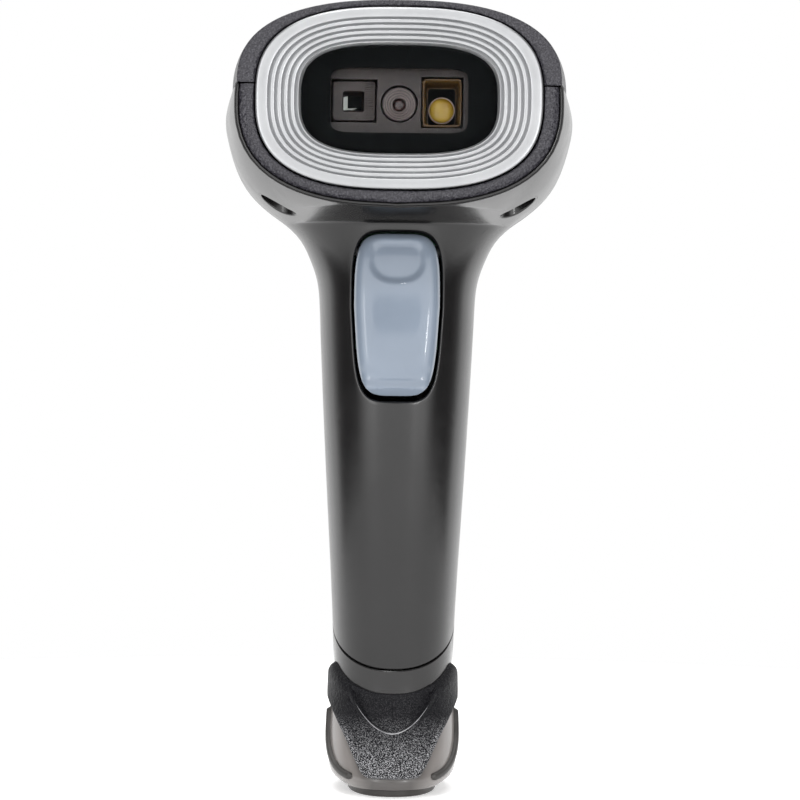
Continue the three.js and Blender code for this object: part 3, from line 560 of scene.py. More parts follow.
def trigger_plastic():
    """Glossy blue-grey moulding with slight flow marks."""
    n = Nodes("trigger_plastic")
    flow = n.noise(70.0)
    n.set(Base_Color=n.mix(n.spread(flow, 0, 1), (0.174, 0.208, 0.257), (0.192, 0.229, 0.282)),
          Roughness=n.spread(n.noise(900.0), 0.09, 0.15), IOR=1.5,
          Normal=n.bump(n.noise(2200.0), 0.03, 0.00003))
    return n.material


def plain(name, dark, light, rough, scale, bump, constants=None):
    """A moulded or sprayed finish: two close tones, a little uneven, over a fine grain."""
    n = Nodes(name)
    grain = n.noise(scale)
    n.set(Base_Color=n.mix(n.spread(n.noise(scale / 9), 0, 1), dark, light),
          Roughness=n.spread(grain, rough[0], rough[1]),
          Normal=n.bump(grain, bump, 0.00004), **(constants or {}))
    return n.material


def window_glass():
    n = Nodes("window_glass")
    smear = n.noise(90.0)
    n.set(Base_Color=(0.97, 0.985, 0.99), Roughness=n.spread(smear, 0.0, 0.03), IOR=1.3,
          Transmission_Weight=1.0, Normal=n.bump(n.noise(40.0), 0.02, 0.00002))
    return n.material


def lens_glass():
    n = Nodes("lens_glass")
    n.set(Base_Color=(0.06, 0.022, 0.02), Roughness=n.spread(n.noise(200.0), 0.01, 0.05), IOR=1.6,
          Transmission_Weight=0.5, Normal=n.bump(n.noise(300.0), 0.02, 0.00002))
    return n.material


def circuit_board():
    n = Nodes("circuit_board")
    tracks = n.add("ShaderNodeTexBrick", Scale=420.0)
    n.join(n.place, tracks.inputs["Vector"])
    tone = n.mix(tracks.outputs["Fac"], (0.012, 0.11, 0.05), (0.05, 0.22, 0.10))
    n.set(Base_Color=tone, Roughness=n.spread(n.noise(700.0), 0.3, 0.45),
          Normal=n.bump(tracks.outputs["Fac"], 0.3, 0.00004))
    return n.material


# Plain finishes: dark tone, light tone, roughness, grain scale, bump, and constants of the shader.
DULL, METAL = {"Specular_IOR_Level": 0.05}, {"Metallic": 1.0}
PLAIN = {
    "window_mask": ((0.0015, 0.0022, 0.0026), (0.0022, 0.003, 0.0034), (0.5, 0.6), 1500.0, 0.02, DULL),
    "foam": ((0.018, 0.018, 0.02), (0.035, 0.035, 0.038), (0.9, 1.0), 3000.0, 0.9),
    "engine_plastic": ((0.020, 0.0125, 0.0115), (0.034, 0.022, 0.020), (0.26, 0.40), 2500.0, 0.2),
    "chip_black": ((0.012, 0.012, 0.014), (0.022, 0.022, 0.024), (0.5, 0.65), 4000.0, 0.2),
    "clear_plastic": ((0.68, 0.70, 0.66), (0.78, 0.80, 0.76), (0.15, 0.3), 1500.0, 0.05),
    # amber tint: painted reflection of the yellow emitter in the cup's walls
    "amber_reflector": ((0.050, 0.024, 0.008), (0.12, 0.060, 0.015), (0.30, 0.36), 300.0, 0.05),
    "led_yellow": ((0.46, 0.27, 0.03), (0.62, 0.41, 0.06), (0.12, 0.25), 2600.0, 0.05),
    "flex_copper": ((0.40, 0.18, 0.04), (0.52, 0.25, 0.06), (0.2, 0.35), 1500.0, 0.05),
    "contact_gold": ((0.75, 0.52, 0.20), (0.85, 0.62, 0.27), (0.18, 0.3), 1500.0, 0.05, METAL),
    "steel": ((0.50, 0.50, 0.52), (0.60, 0.60, 0.62), (0.2, 0.34), 2400.0, 0.08, METAL),
    # painted highlight: lighter than the barrel, on the tori along its stepped edges
    "ring_edge_highlight": ((0.10, 0.070, 0.066), (0.20, 0.15, 0.14), (0.12, 0.2), 1500.0, 0.2),
    # painted highlight: the pale colour of the bead along the foot guard's ridge
    "ridge_bead": ((0.16, 0.16, 0.17), (0.42, 0.42, 0.43), (0.2, 0.3), 5000.0, 0.2),
    "pale_rim": ((0.42, 0.30, 0.25), (0.55, 0.42, 0.36), (0.15, 0.3), 1500.0, 0.2),
    "silvered": ((0.30, 0.30, 0.31), (0.5, 0.5, 0.52), (0.1, 0.2), 1500.0, 0.2, METAL),
    "dark_steel": ((0.02, 0.02, 0.021), (0.03, 0.03, 0.032), (0.4, 0.5), 1500.0, 0.2),
    "rubber": ((0.030, 0.027, 0.025), (0.045, 0.041, 0.038), (0.38, 0.5), 3200.0, 0.2),
}
WORKED = {maker.__name__: maker for maker in (
    gloss_housing, textured_plastic, foot_gloss, foot_texture, silver_bezel, trigger_plastic,
    window_glass, lens_glass, circuit_board)}
made = {}


def finish_for(slot):
    """The material of a slot's name, made when it is first asked for."""
    name = slot.split(".")[0]
    if name not in made:
        made[name] = WORKED[name]() if name in WORKED else plain(name, *PLAIN[name])
    return made[name]


# ---- housing -------------------------------------------------------------------------------------
ROLL = 0.3  # radius of the edge round the head's front
BAND_GAP = 0.2  # joint between that edge and the textured face
COLUMNS = 60
LOW_TOP = 60.0  # below this the rows slant to follow the joint with the foot


def row_levels():
    """Heights of the rows between the slanted rows and the seam, with the lip's opening."""
    neck = np.linspace(LOW_TOP, CREASE_Z - FILLET[0], 48)
    crease_share = np.linspace(0, 1, 8)[1:]
    below, above = FILLET
    crease = (CREASE_Z - below + 2 * crease_share * below
              + crease_share**2 * (above - below))
    shelf = np.linspace(CREASE_Z + above, LIP_Z - 0.14, 10)[1:]
    opening = np.concatenate([[0.02], np.linspace(0.1, 0.9, 15), [0.94, 0.97, 0.99]])
    lip = RIM["z"] - RIM["half_h"] * (1 - opening ** RIM["power"]) ** (1 / RIM["power"])
    head = np.linspace(lip[-1], SEAM_Z - GAP / 2, 12)[1:]
    return np.concatenate([neck, crease, shelf, lip, head])


def shell_rows(first_angle, last_angle, foot_gap):
    """Angles and heights of a shell's half, for rows whose ends are functions of height."""
    share = np.linspace(0, 1, COLUMNS + 1)[None, :]
    upper = row_levels()[:, None]
    lower_share = np.linspace(0, 1, 22)[:-1, None]
    z_low = np.full((21, COLUMNS + 1), 40.0)
    for _ in range(8):
        angle_low = lerp(first_angle(z_low), last_angle(z_low), share)
        seam = foot_seam_z(angle_low) + foot_gap
        z_low = lerp(seam, LOW_TOP, lower_share)
    z_high = np.repeat(upper, COLUMNS + 1, 1)
    angle_high = lerp(first_angle(z_high), last_angle(z_high), share)
    return np.concatenate([angle_low, angle_high]), np.concatenate([z_low, z_high])


def soften(points, inward, sides):
    """Tucks the grid's edge rows or columns inwards, as a moulded edge turns in."""
    points = points.copy()
    place = {"first_row": (np.s_[0], np.s_[1]), "last_row": (np.s_[-1], np.s_[-2]),
             "first_column": (np.s_[:, 0], np.s_[:, 1]), "last_column": (np.s_[:, -1], np.s_[:, -2])}
    for side in sides:
        edge, beside = place[side]
        away = points[beside] - points[edge]
        length = np.maximum(np.linalg.norm(away, axis=-1, keepdims=True), 1e-9)
        points[beside] = points[edge] + away / length * np.minimum(EDGE, length)
        points[edge] += inward[edge] * EDGE * 0.8
    return points


def trigger_rim(flat, grow):
    """Rim of the trigger's pocket in the front view, in the directions of given points."""
    low, high = TRIGGER["low"] - POCKET_GAP["bottom"], TRIGGER["high"] + POCKET_GAP["top"]
    middle, reach = (low + high) / 2, (high - low) / 2 + grow
    half = TRIGGER["half"] + POCKET_GAP["side"] + grow
    across, up = flat[:, 0] / half, (flat[:, 1] - middle) / reach
    angle = np.arctan2(up, across)
    size = reach_of(angle, TRIGGER["power"])
    z = middle + reach * size * np.sin(angle)
    taper = lerp(TRIGGER["low_half"], TRIGGER["half"], np.clip((z - TRIGGER["low"]) / 18, 0, 1))
    x = (taper + POCKET_GAP["side"] + grow) * size * np.cos(angle)
    return stack(x, z)


def front_lift(flat):
    """Front-view points lifted to the handle's front."""
    x, z = flat[:, 0], flat[:, 1]
    share = np.clip(np.abs(x) / HALF(z), 0, 1)
    return body(np.arcsin(share ** (BODY_POWER / 2)), z)


def well_rim(flat, grow):
    centre = np.array([WELL["x"], WELL["y"]])
    away = flat - centre
    length = np.linalg.norm(away, axis=1, keepdims=True)
    return centre + away / length * (WELL["radius"] + grow)


def plan_lift(flat):
    """Plan-view points lifted to the underside of the head on the right."""
    x, y = flat[:, 0], flat[:, 1]

    def angle_at(z):
        share = np.clip(np.abs(x) / HALF(z), 0, 1)
        return np.arcsin(share ** (BODY_POWER / 2))

    low, high = np.full_like(x, 108.0), np.full_like(x, 136.0)
    z = bisect(lambda level: y - body(angle_at(level), level)[..., 1], low, high)
    return body(angle_at(z), z)


def front_start(z):
    """Angle at which a row meets the plane where the front edge's rounding starts."""
    plane = FRONT + ROLL
    start = bisect(lambda a: body(a, z)[..., 1] - plane, np.zeros_like(z), np.full_like(z, 2.0))
    return np.where(body(np.zeros_like(z), z)[..., 1] >= plane, 0.0, start)


def front_edge(line, plain_line):
    """Quarter-round edge from the side surface to the front plane, then the recess behind it."""
    tangent = np.gradient(plain_line, axis=0)
    tangent[0] = [1, 0, 0]
    outward = stack(tangent[:, 2], 0 * tangent[:, 0], -tangent[:, 0])
    outward /= np.linalg.norm(outward, axis=1, keepdims=True)
    rows = []
    for turn in np.radians([0, 18, 36, 54, 72, 90]):
        rows.append(line + outward * ROLL * (math.cos(turn) - 1) + [0, -ROLL * math.sin(turn), 0])
    for depth in (0.4, 1.4, 2.6):
        rows.append(rows[5] - outward * 0.02 + [0, depth, 0])
    return np.array(rows)


def front_shell():
    angles, heights = shell_rows(front_start, lambda z: split_angle(z, -GAP / 2), GAP / 2)
    points, inward = body(angles, heights), -outward_of(angles, heights)
    opened = int(np.argmax(front_start(heights[:, 0]) > 0)) - 1
    skin = Skin()
    pocket = [int(np.argmin(np.abs(heights[:, 0] - z)))
              for z in (POCKET["low"], CREASE_Z - FILLET[0])] + [0, POCKET["columns"]]
    well = well_place(points, opened)
    plain_line = points[opened:, 0].copy()
    points = soften(points, inward, ["first_row", "last_row", "last_column"])
    skin.grid(points, holes=[pocket, well])
    view = [0, 2]
    skin.grid(hole_loops(points, pocket, view, front_lift, trigger_rim, 0.5, (0, 1, 0),
                         [(POCKET["floor"], share) for share in (0.15, 0.5, 1.0)], False))
    plan = [0, 1]
    loops = hole_loops(points, well, plan, plan_lift, well_rim, 0.4, (0, 0, 1),
                       [(WELL["floor"], share) for share in (0.2, 0.6, 1.0)], True)
    floor = lerp(loops[-1], np.array([WELL["x"], WELL["y"], WELL["floor"]]), 0.5)
    skin.grid(np.concatenate([loops, [floor]]), closed=True)
    skin.grid(front_edge(points[opened:, 0], plain_line))
    skin.mirror()
    skin.piece("front_shell_skin", "front_shell", "gloss_housing", wall=SKIN)


def well_place(points, opened):
    """Cells of the half grid that the screw well opens through."""
    apart = np.hypot(points[..., 0] - WELL["x"], points[..., 1] - WELL["y"])
    near = np.argwhere(apart < WELL["radius"] + 1.3)
    (r0, c0), (r1, c1) = near.min(0), near.max(0)
    return (r0, r1, c0, c1)


def rear_shell():
    angles, heights = shell_rows(lambda z: split_angle(z, GAP / 2),
                                 lambda z: np.full_like(z, math.pi), GAP / 2)
    edges = ["first_row", "last_row", "first_column"]
    points = soften(body(angles, heights), -outward_of(angles, heights), edges)
    points[:, -1, 0] = 0
    shell = Skin().grid(points).mirror().piece(
        "rear_shell_skin", "rear_shell", "gloss_housing", wall=SKIN)
    turn = around(48)
    across, up = HANDLE_SCREW["radius"] * np.cos(turn), HANDLE_SCREW["radius"] * np.sin(turn)
    carve(shell, [stack(across, y, HANDLE_SCREW["z"] + up) for y in HANDLE_SCREW["cut"]])


def foot_cap():
    columns = np.linspace(0, math.pi, 65)[None, :]
    share = np.linspace(0, 1, 40)[:, None] ** 1.25
    floor = STATIONS[0, 0]
    top = foot_seam_z(columns) - GAP / 2
    heights = lerp(floor, top, share)
    angles = np.repeat(columns, len(share), 0)
    points = body(angles, heights)
    points[:, [0, -1], 0] = 0
    points = soften(points, -outward_of(angles, heights), ["last_row"])
    rim = points[0]
    away = rim[:, :2] - [0, SOCKET["y"]]
    reach = np.maximum(np.abs(away[:, 0]) / SOCKET["half_w"], np.abs(away[:, 1]) / SOCKET["half_d"])
    hole = stack(away[:, 0] / reach, SOCKET["y"] + away[:, 1] / reach, floor)
    under = np.array([lerp(rim, hole, s) for s in (0, 0.03, 0.25, 0.5, 0.75, 1)])
    under[1:, :, 2] = floor
    Skin().grid(points).grid(under).mirror().piece(
        "foot_cap_skin", "foot_cap", "gloss_housing", wall=SKIN, finish="foot_gloss")


# ---- head ----------------------------------------------------------------------------------------
def roof(turn, y):
    """Point of the top cover: turn 0 at the right seam, 90 degrees on the ridge."""
    half_seam = HALF(SEAM_Z)
    full = fullness(SEAM_Z, half_seam)
    ahead = y < WIDEST_Y
    reach = np.where(ahead, (WIDEST_Y - FRONT) / full, HEAD_BACK - WIDEST_Y)
    offset = np.minimum(1, np.abs(y - WIDEST_Y) / reach)
    plan = half_seam * (1 - offset**BODY_POWER) ** (1 / BODY_POWER)
    run = np.clip((y - ROOF_START) / (HEAD_BACK - ROOF_START), 0, 1)
    rise = (TOP - SEAM_Z) * (1 - run**ROOF_POWER) ** (1 / ROOF_POWER)
    x = plan * power(np.cos(turn), RIM["power"])
    z = SEAM_Z + rise * power(np.sin(turn), RIM["power"])
    return stack(x, y, z)


# The cover's front face, from the bezel's opening out to the rounded edge: share and depth.
BAND = ((1.0, 2.6), (1.0, 1.2), (1.0, 0.5), (0.93, 0.22), (0.8, 0.12), (0.6, 0.05), (0.35, 0.0),
        (0.12, 0.0))
LIGHT_SLOT = (150.0, 165.0)  # heights that the light pipe's slot is cut through
# The cover's inner lip, which closes the joint from the inside: its rows' heights from the seam.
COVER_LIP = {"inset": 1.0, "wall": 0.3, "from_y": -34.0, "rows": (-1.4, -0.5, 0.4, 1.2)}


def top_cover():
    turn = np.linspace(0, math.pi / 2, 72)
    lift = GAP / 2 + 0.02
    round_back = np.sin(np.linspace(0, math.pi / 2, 34))[1:-1]
    depths = np.concatenate([np.linspace(FRONT + ROLL, WIDEST_Y, 22),
                             WIDEST_Y + (HEAD_BACK - WIDEST_Y) * round_back,
                             [HEAD_BACK - 0.03]])
    arch = roof(turn[None, :], depths[:, None])
    start = arch[0]
    away = start - [0, 0, SEAM_Z - 3]
    away[:, 1] = 0
    tangent = np.gradient(start, axis=0)
    outward = stack(tangent[:, 2], 0 * turn, -tangent[:, 0])
    outward /= np.linalg.norm(outward, axis=1, keepdims=True)
    outward *= np.sign(np.sum(outward * away, 1, keepdims=True))
    outward[-1] = [0, 0, 1]
    roll = [start + outward * ROLL * (math.cos(t) - 1) + [0, -ROLL * math.sin(t), 0]
            for t in np.radians([90, 72, 54, 36, 18])]
    low = math.asin(((SEAM_Z + lift - OPTIC_Z) / (RING["half_h"] + GAP)) ** (RING["power"] / 2))
    ring_turn = lerp(low, math.pi / 2, turn / (math.pi / 2))
    x, z = outline(RING, ring_turn, GAP)
    hole = stack(x, FRONT, z)
    band = [lerp(roll[0], hole, share) * [1, 0, 1] + [0, FRONT + depth, 0] for share, depth in BAND]
    rows = np.concatenate([band, roll, arch])
    rows[..., 2] = np.maximum(rows[..., 2], SEAM_Z + lift)
    rows[:, -1, 0] = 0
    inward = np.zeros_like(rows)
    inward[:, 0] = [-1, 0, 0]
    inward[:len(rows) - len(arch) - 4, 0] = [0, 1, 0]
    rows = soften(rows, inward, ["first_column"])
    cover = Skin().grid(rows).mirror().piece(
        "top_cover_skin", "top_cover", "textured_plastic", wall=SKIN)
    low_corner, high_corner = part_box("light_pipe")
    side = GAP + high_corner.x / MM
    ends = [low_corner.y / MM - GAP, high_corner.y / MM + GAP]
    carve(cover, [stack([-side, side, side, -side], np.repeat(ends, 2), z) for z in LIGHT_SLOT])


def cover_lip():
    """The cover's inner lip, from beside the bezel round the back to the other side."""
    z = np.full(90, SEAM_Z - 0.1)
    first = bisect(lambda a: body(a, z)[..., 1] - COVER_LIP["from_y"], 0 * z, 0 * z + math.pi / 2)
    sweep = lerp(first, np.full_like(z, math.pi), np.linspace(0, 1, len(z)))
    line = (body(sweep, z) - outward_of(sweep, z) * COVER_LIP["inset"]) * [1, 1, 0]
    lip = np.array([line + [0, 0, SEAM_Z + up] for up in COVER_LIP["rows"]])
    lip[:, -1, 0] = 0
    Skin().grid(lip).mirror().piece("cover_lip", None, "gloss_housing", wall=COVER_LIP["wall"])


def nose_bumper():
    """Textured face of the head below the seam, from one end of the seam round to the other."""
    inset = -(ROLL + BAND_GAP)
    inner_top, outer_top = [
        math.asin(((SEAM_Z - GAP / 2 - shape["z"]) / (shape["half_h"] + grow)) ** (shape["power"] / 2))
        for shape, grow in ((RING, GAP), (RIM, inset))]
    share = np.linspace(0, 1, 110)
    x, z = outline(RIM, lerp(outer_top, -math.pi / 2, share), inset)
    outer = stack(x, FRONT, z)
    x, z = outline(RING, lerp(inner_top, -math.pi / 2, share), GAP)
    hole = stack(x, FRONT, z)
    section = [(0.0, 2.2), (0.0, 1.0), (0.02, 0.75), (0.06, 0.6), (0.14, 0.45), (0.25, 0.28),
               (0.38, 0.13), (0.52, 0.03), (0.66, -0.02), (0.85, 0.0), (0.95, 0.08),
               (0.985, 0.2), (1.0, 0.45), (1.0, 2.2)]
    rows = np.array([lerp(outer, hole, across) + [0, depth, 0] for across, depth in section])
    rows[:, -1, 0] = 0
    Skin().grid(np.concatenate([rows, rows[:1]])).mirror().piece(
        "nose_bumper_skin", "nose_bumper", "textured_plastic", fill=True)


GROOVES = (0.29, 0.44, 0.59, 0.735, 0.88)  # places of the ring's grooves, as shares of its width
GROOVE = ((-0.030, 0.0), (-0.020, 0.04), (-0.010, 0.22), (0.0, 0.50), (0.012, 0.62), (0.026, 0.52),
          (0.045, 0.30), (0.070, 0.24))  # a groove's section: share across and depth


def ring_profile():
    """The bezel's section: share of the way in from its outer edge, and depth behind FRONT."""
    profile = [(0.0, 2.4), (0.0, 0.2), (0.0, -0.35), (0.012, -0.62), (0.04, -0.76), (0.075, -0.8),
               (0.16, -0.8), (0.24, -0.78)]
    for step, share in enumerate(GROOVES):
        land = 0.30 * step - 0.74
        profile += [(share + across, land + depth) for across, depth in GROOVE]
    return profile + [(0.97, 1.0), (0.985, 1.15), (1.0, 1.5), (1.0, 2.4)]


def bezel_ring():
    turn = around(200)
    ox, oz = outline(RING, turn)
    ix, iz = outline(WINDOW, turn)
    outer, inner = stack(ox, FRONT, oz), stack(ix, FRONT, iz)
    rows = []
    for share, depth in ring_profile():
        row = lerp(outer, inner, share)
        row[:, 1] = FRONT + depth
        rows.append(row)
    rows.append(rows[0])
    Skin().grid(np.array(rows), closed=True).piece(
        "bezel_ring_skin", "bezel_ring", "silver_bezel", sharp=50)


def flat_plate(shape, hole, y_front, y_back, bevel, name, slot, turns=128):
    """Plate in the front view with bevelled edges; hole is another outline, or None."""
    turn = around(turns)
    rows = []
    for grow, y in ((0, y_back), (0, y_front + bevel), (-bevel, y_front)):
        x, z = outline(shape, turn, grow)
        rows.append(stack(x, y, z))
    front, back = rows[-1], rows[0]
    if hole is None:
        for share in (0.4, 0.75, 0.999):
            rows.append(lerp(front, np.array([0, y_front, shape["z"]]), share))
            rows.insert(0, lerp(back, np.array([0, y_back, shape["z"]]), share))
    else:
        rows += [hole + [0, y_front, 0], hole + [0, y_back, 0]]
        rows.append(rows[0])
    Skin().grid(np.array(rows), closed=True).piece(
        name, name.replace("_skin", ""), slot, fill=hole is None)


def rounded_rectangle(half_w, half_h, z, turn, exponent=9.0):
    """Points of a rounded rectangle in the front view, in the directions of turn."""
    size = reach_of(turn, exponent)
    return stack(half_w * size * np.cos(turn), 0.0, z + half_h * size * np.sin(turn))


def window():
    pane_low, pane_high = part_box("window_pane")
    mask_low, mask_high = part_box("window_mask")
    flat_plate(PANE, None, pane_low.y / MM, pane_high.y / MM, 0.15, "window_pane_skin", "window_glass")
    turn = around(128)
    hole = rounded_rectangle(APERTURE["half_w"], APERTURE["half_h"], OPTIC_Z, turn)
    flat_plate(PANE, hole, mask_low.y / MM, mask_high.y / MM, 0.05, "window_mask_skin", "window_mask")


# ---- trigger -------------------------------------------------------------------------------------
DISH = {"z": 109.4, "half_w": 6.3, "half_h": 4.7, "power": 3.0, "sag": 0.03, "depth": 0.9}
LIP = ((85.7, -0.38, 1.8), (83.9, 1.5, 2.0))  # the lower end's steps: from height, slope back, extent


def trigger_face(x, z, share):
    """Depth of the trigger's face: an arch, a rounded border, a finger dish and a lip below."""
    run = (z - TRIGGER["low"]) / (TRIGGER["high"] - TRIGGER["low"])
    crest = TRIGGER_FACE - TRIGGER_ARCH * np.sin(math.pi * np.clip(0.18 + 0.8 * run, 0, 1))
    border = 3.0 * (1 - (1 - min(share, 1.0) ** 6.5) ** (1 / 2.2))
    border *= 1 - 0.65 * smooth(87.5, 84.0, z)
    across, up = np.abs(x) / DISH["half_w"], np.abs(z - DISH["z"] - DISH["sag"] * x**2) / DISH["half_h"]
    dish = 1 - smooth(0.66, 1.0, (across ** DISH["power"] + up ** DISH["power"]) ** (1 / DISH["power"]))
    slope = sum(rate * np.clip(top - z, 0, extent) for top, rate, extent in LIP)
    return crest + border + DISH["depth"] * dish + slope


def trigger():
    middle = (TRIGGER["low"] + TRIGGER["high"]) / 2
    reach = (TRIGGER["high"] - TRIGGER["low"]) / 2
    turn = around(200)
    size = reach_of(turn, TRIGGER["power"])
    edge_z = middle + reach * size * np.sin(turn)
    half = lerp(TRIGGER["low_half"], TRIGGER["half"], np.clip((edge_z - TRIGGER["low"]) / 18, 0, 1))
    shares = np.concatenate([[0.001], np.linspace(0.04, 0.76, 30),
                             1 - np.geomspace(0.22, 0.003, 22), [1.0]])
    rows = []
    for share in shares:
        x, z = half * share * size * np.cos(turn), middle + reach * share * size * np.sin(turn)
        rows.append(stack(x, trigger_face(x, z, share), z))
    rim = rows[-1]
    for depth in (0.04, 0.3, 0.65, 1.0):
        row = rim.copy()
        row[:, 1] = lerp(rim[:, 1], TRIGGER_BACK, depth)
        rows.append(row)
    skin = Skin().grid(np.array(rows), closed=True)
    skin.piece("trigger_key_skin", "trigger_key", "trigger_plastic", "trigger", wall=1.4, sharp=50)


# ---- foot ----------------------------------------------------------------------------------------
GUARD = {"low": 3.8, "seat": 0.25, "proud": 1.5, "top_z": 20.8, "top_y": -10.8, "top_slope": 0.56,
         "ear_z": 28.2}
TOE = {"half": 5.5, "z": 4.4, "slope": 2.2, "high": 18.4}  # lower edge, flat then rising, front view
EAR_BACK, EAR_BULGE, EAR_ROUND = 1.9, 3.2, 2.2
RIDGE = {"z": 12.5, "curve": 0.142}  # the recess's lower ridge, a parabola in the front view
BEAD, BEAD_END = 0.18, 0.42  # radius of the pale bead along the ridge, whose colour is a painted highlight, and the share of the half turn it runs
STRIP_HALF = 0.75  # half the strip's width
STRIP = Curve([-12.0, -9.3, -5.2, -1.0, 1.6, 2.8], [3.95, 4.6, 6.4, 9.7, 13.6, 17])


def guard_low(x):
    """Height of the guard's lower edge at a distance from the middle: flat at the toe, then rising."""
    over = np.abs(x) - TOE["half"]
    rise = TOE["z"] + TOE["slope"] * 0.5 * (over + np.sqrt(over**2 + 0.3))
    return np.clip(rise - 0.55, GUARD["low"], TOE["high"])


def guard_columns():
    """Angles round the foot, and each column's lower edge, ridge and upper edge."""
    share = 1 - (1 - np.linspace(0, 1, 90)) ** 1.5
    share = np.sort(np.append(share, 0.006))
    level = np.full_like(share, 22.0)
    last = bisect(lambda a: body(a, level)[..., 1] - EAR_BACK, 0 * share, 0 * share + math.pi)
    angle = share * last
    low = bisect(lambda z: z - guard_low(body(angle, z)[..., 0]), 0 * share + 2.5, 0 * share + 19)
    top = bisect(lambda z: z - GUARD["top_z"] - GUARD["top_slope"] * (body(angle, z)[..., 1]
                 - GUARD["top_y"]), 0 * share + 15, 0 * share + 32)
    top = np.minimum(top, GUARD["ear_z"])
    ridge = bisect(lambda z: z - RIDGE["z"] - RIDGE["curve"] * body(angle, z)[..., 0] ** 2,
                   0 * share + 8, 0 * share + 40)
    rounding = np.clip((share - 0.86) / 0.14, 0, 1)
    drop = 1 - np.sqrt(1 - rounding**2)
    return share, angle, low + 2.2 * drop, np.minimum(ridge, top - 0.6), top - 2.6 * drop


def foot_guard():
    """Textured guard over the front of the foot, with an ear at each side and a ridged recess."""
    share, angle, low, ridge, top = guard_columns()
    seat, proud = GUARD["seat"], GUARD["proud"]
    rows = [(low, 0, seat - 0.3), (low, 0, 0.6 * proud), (low, 0.12, 0.85 * proud), (low, 0.4, proud)]
    for part in np.linspace(0.08, 0.9, 16):
        rows.append((lerp(low + 0.4, ridge - 1.7, part), 0, proud))
    apart = np.clip((top - ridge - 0.6) / 1.5, 0, 1)  # 0 where the recess has closed up at the ears
    rows += [(ridge, offset, proud + rise * apart) for offset, rise in
             ((-1.7, 0), (-1.5, -0.14), (-1.25, -0.02), (-0.7, 0.08), (-0.25, 0.2), (0, 0.12))]
    rows += [(ridge, 0.16, proud - 0.2), (ridge, 0.26, 0.7), (ridge, 0.4, 0.45)]
    ears = [grow for _, _, grow in rows]  # each row's height where the recess has closed up
    for part in np.linspace(0.15, 0.85, 9):
        rows.append((lerp(ridge + 0.4, top - 0.2, part), 0, lerp(0.42, 0.62, part)))
    rows += [(top, -0.2, 0.66), (top, -0.04, 0.55), (top, 0, seat - 0.3)]
    ears += [0.96 * proud] * 10 + [0.7 * proud, seat - 0.3]
    fall = np.sqrt(1 - np.clip((share - 0.9) / 0.1, 0, 1) ** 2.4)
    grid = []
    for (base, offset, grow), ear in zip(rows, ears):
        z = base + offset
        height = lerp(ear, grow, apart)
        near = np.clip((top - z) / EAR_ROUND, 0, 1)
        rounded = seat - 0.3 + (proud - seat + 0.3) * np.sqrt(1 - (1 - near) ** 2)
        height = lerp(np.minimum(height, rounded), height, apart)
        height = seat - 0.3 + (height - seat + 0.3) * fall
        height[0] -= 0.12
        v = np.clip((z - low) / np.maximum(top - low, 1e-6), 0, 1)
        reach = smooth(0.55, 1.0, share) * EAR_BULGE * np.sin(math.pi * v)
        level = body(angle, z)[..., 1] + reach
        there = bisect(lambda a: body(a, z)[..., 1] - level, angle, angle + 1.2)
        there = np.where(reach > 0, there, angle)
        grid.append(body(there, z) + outward_of(there, z) * height[:, None])
    grid = np.array(grid)
    grid[:, 0, 0] = 0
    Skin().grid(grid).mirror().piece(
        "foot_guard_skin", "foot_guard", "textured_plastic", sharp=60, finish="foot_texture")
    # rounded bead along the ridge, coloured pale as a painted highlight of the light from above
    bead = []
    thin = BEAD * np.clip(1 - share / BEAD_END, 0.05, 1) ** 0.6
    for turn in around(12):
        z = ridge - 0.12 + thin * math.sin(turn)
        out = proud + 0.1 + thin * math.cos(turn)
        bead.append(body(angle, z) + outward_of(angle, z) * out[:, None])
    bead = np.array(bead)[:, share < BEAD_END]
    bead[:, 0, 0] = 0
    Skin().grid(bead.swapaxes(0, 1), closed=True).mirror().piece(
        "foot_ridge_bead", None, "textured_plastic", sharp=80, finish="ridge_bead")


def foot_strips():
    """Round-ended raised strip low on each side of the foot."""
    y = np.linspace(STRIP.x[0], STRIP.x[-1], 60)
    z = STRIP(y)
    along = np.gradient(np.stack([y, z], -1), axis=0)
    along /= np.linalg.norm(along, axis=1, keepdims=True)
    run = np.concatenate([[0], np.cumsum(np.hypot(np.diff(y), np.diff(z)))])
    end = np.minimum(run, run[-1] - run) / STRIP_HALF
    width = STRIP_HALF * np.sqrt(np.clip(1 - (1 - np.minimum(end, 1)) ** 2, 0.0004, 1))
    grid = []
    for across in np.linspace(-1, 1, 13):
        side_y, side_z = y - along[:, 1] * across * width, z + along[:, 0] * across * width
        turn = bisect(lambda a: body(a, side_z)[..., 1] - side_y, 0 * y, 0 * y + math.pi)
        height = -0.1 + 1.0 * (1 - abs(across) ** 3) ** 0.5 * np.minimum(1, width / STRIP_HALF)
        grid.append(body(turn, side_z) + outward_of(turn, side_z) * height[:, None])
    for side, name in ((1, "right"), (-1, "left")):
        Skin().grid(np.array(grid) * [side, 1, 1]).piece(
            "foot_strip_%s_skin" % name, "foot_strip_" + name, "rubber", sharp=60)


def base_plate():
    """Flat plate under the foot, with softened edges and the cable socket's hole."""
    turn = around(120)
    size = reach_of(turn, SOCKET["power"])
    hole = stack(SOCKET["half_w"] * size * np.sin(turn),
                 SOCKET["y"] - SOCKET["half_d"] * size * np.cos(turn), 0)
    rows = [hole + [0, 0, 1.3], hole + [0, 0, 0.3], hole + [0, 0, 0.08]]
    low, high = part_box("base_plate")
    middle = (low.y + high.y) / 2 / MM
    for inset, z in ((0.5, 0.0), (0.38, 0.02), (0.2, 0.1), (0.06, 0.25), (0.0, 0.45), (0.0, 1.3)):
        x, y = oval(turn, high.x / MM - inset, middle, low.y / MM + inset, high.y / MM - inset)
        rows.append(stack(x, y, z))
    rows.insert(3, lerp(rows[2], rows[3], 0.06) * [1, 1, 0])
    rows.append(rows[0])
    Skin().grid(np.array(rows), closed=True).piece("base_plate_skin", "base_plate", "rubber")


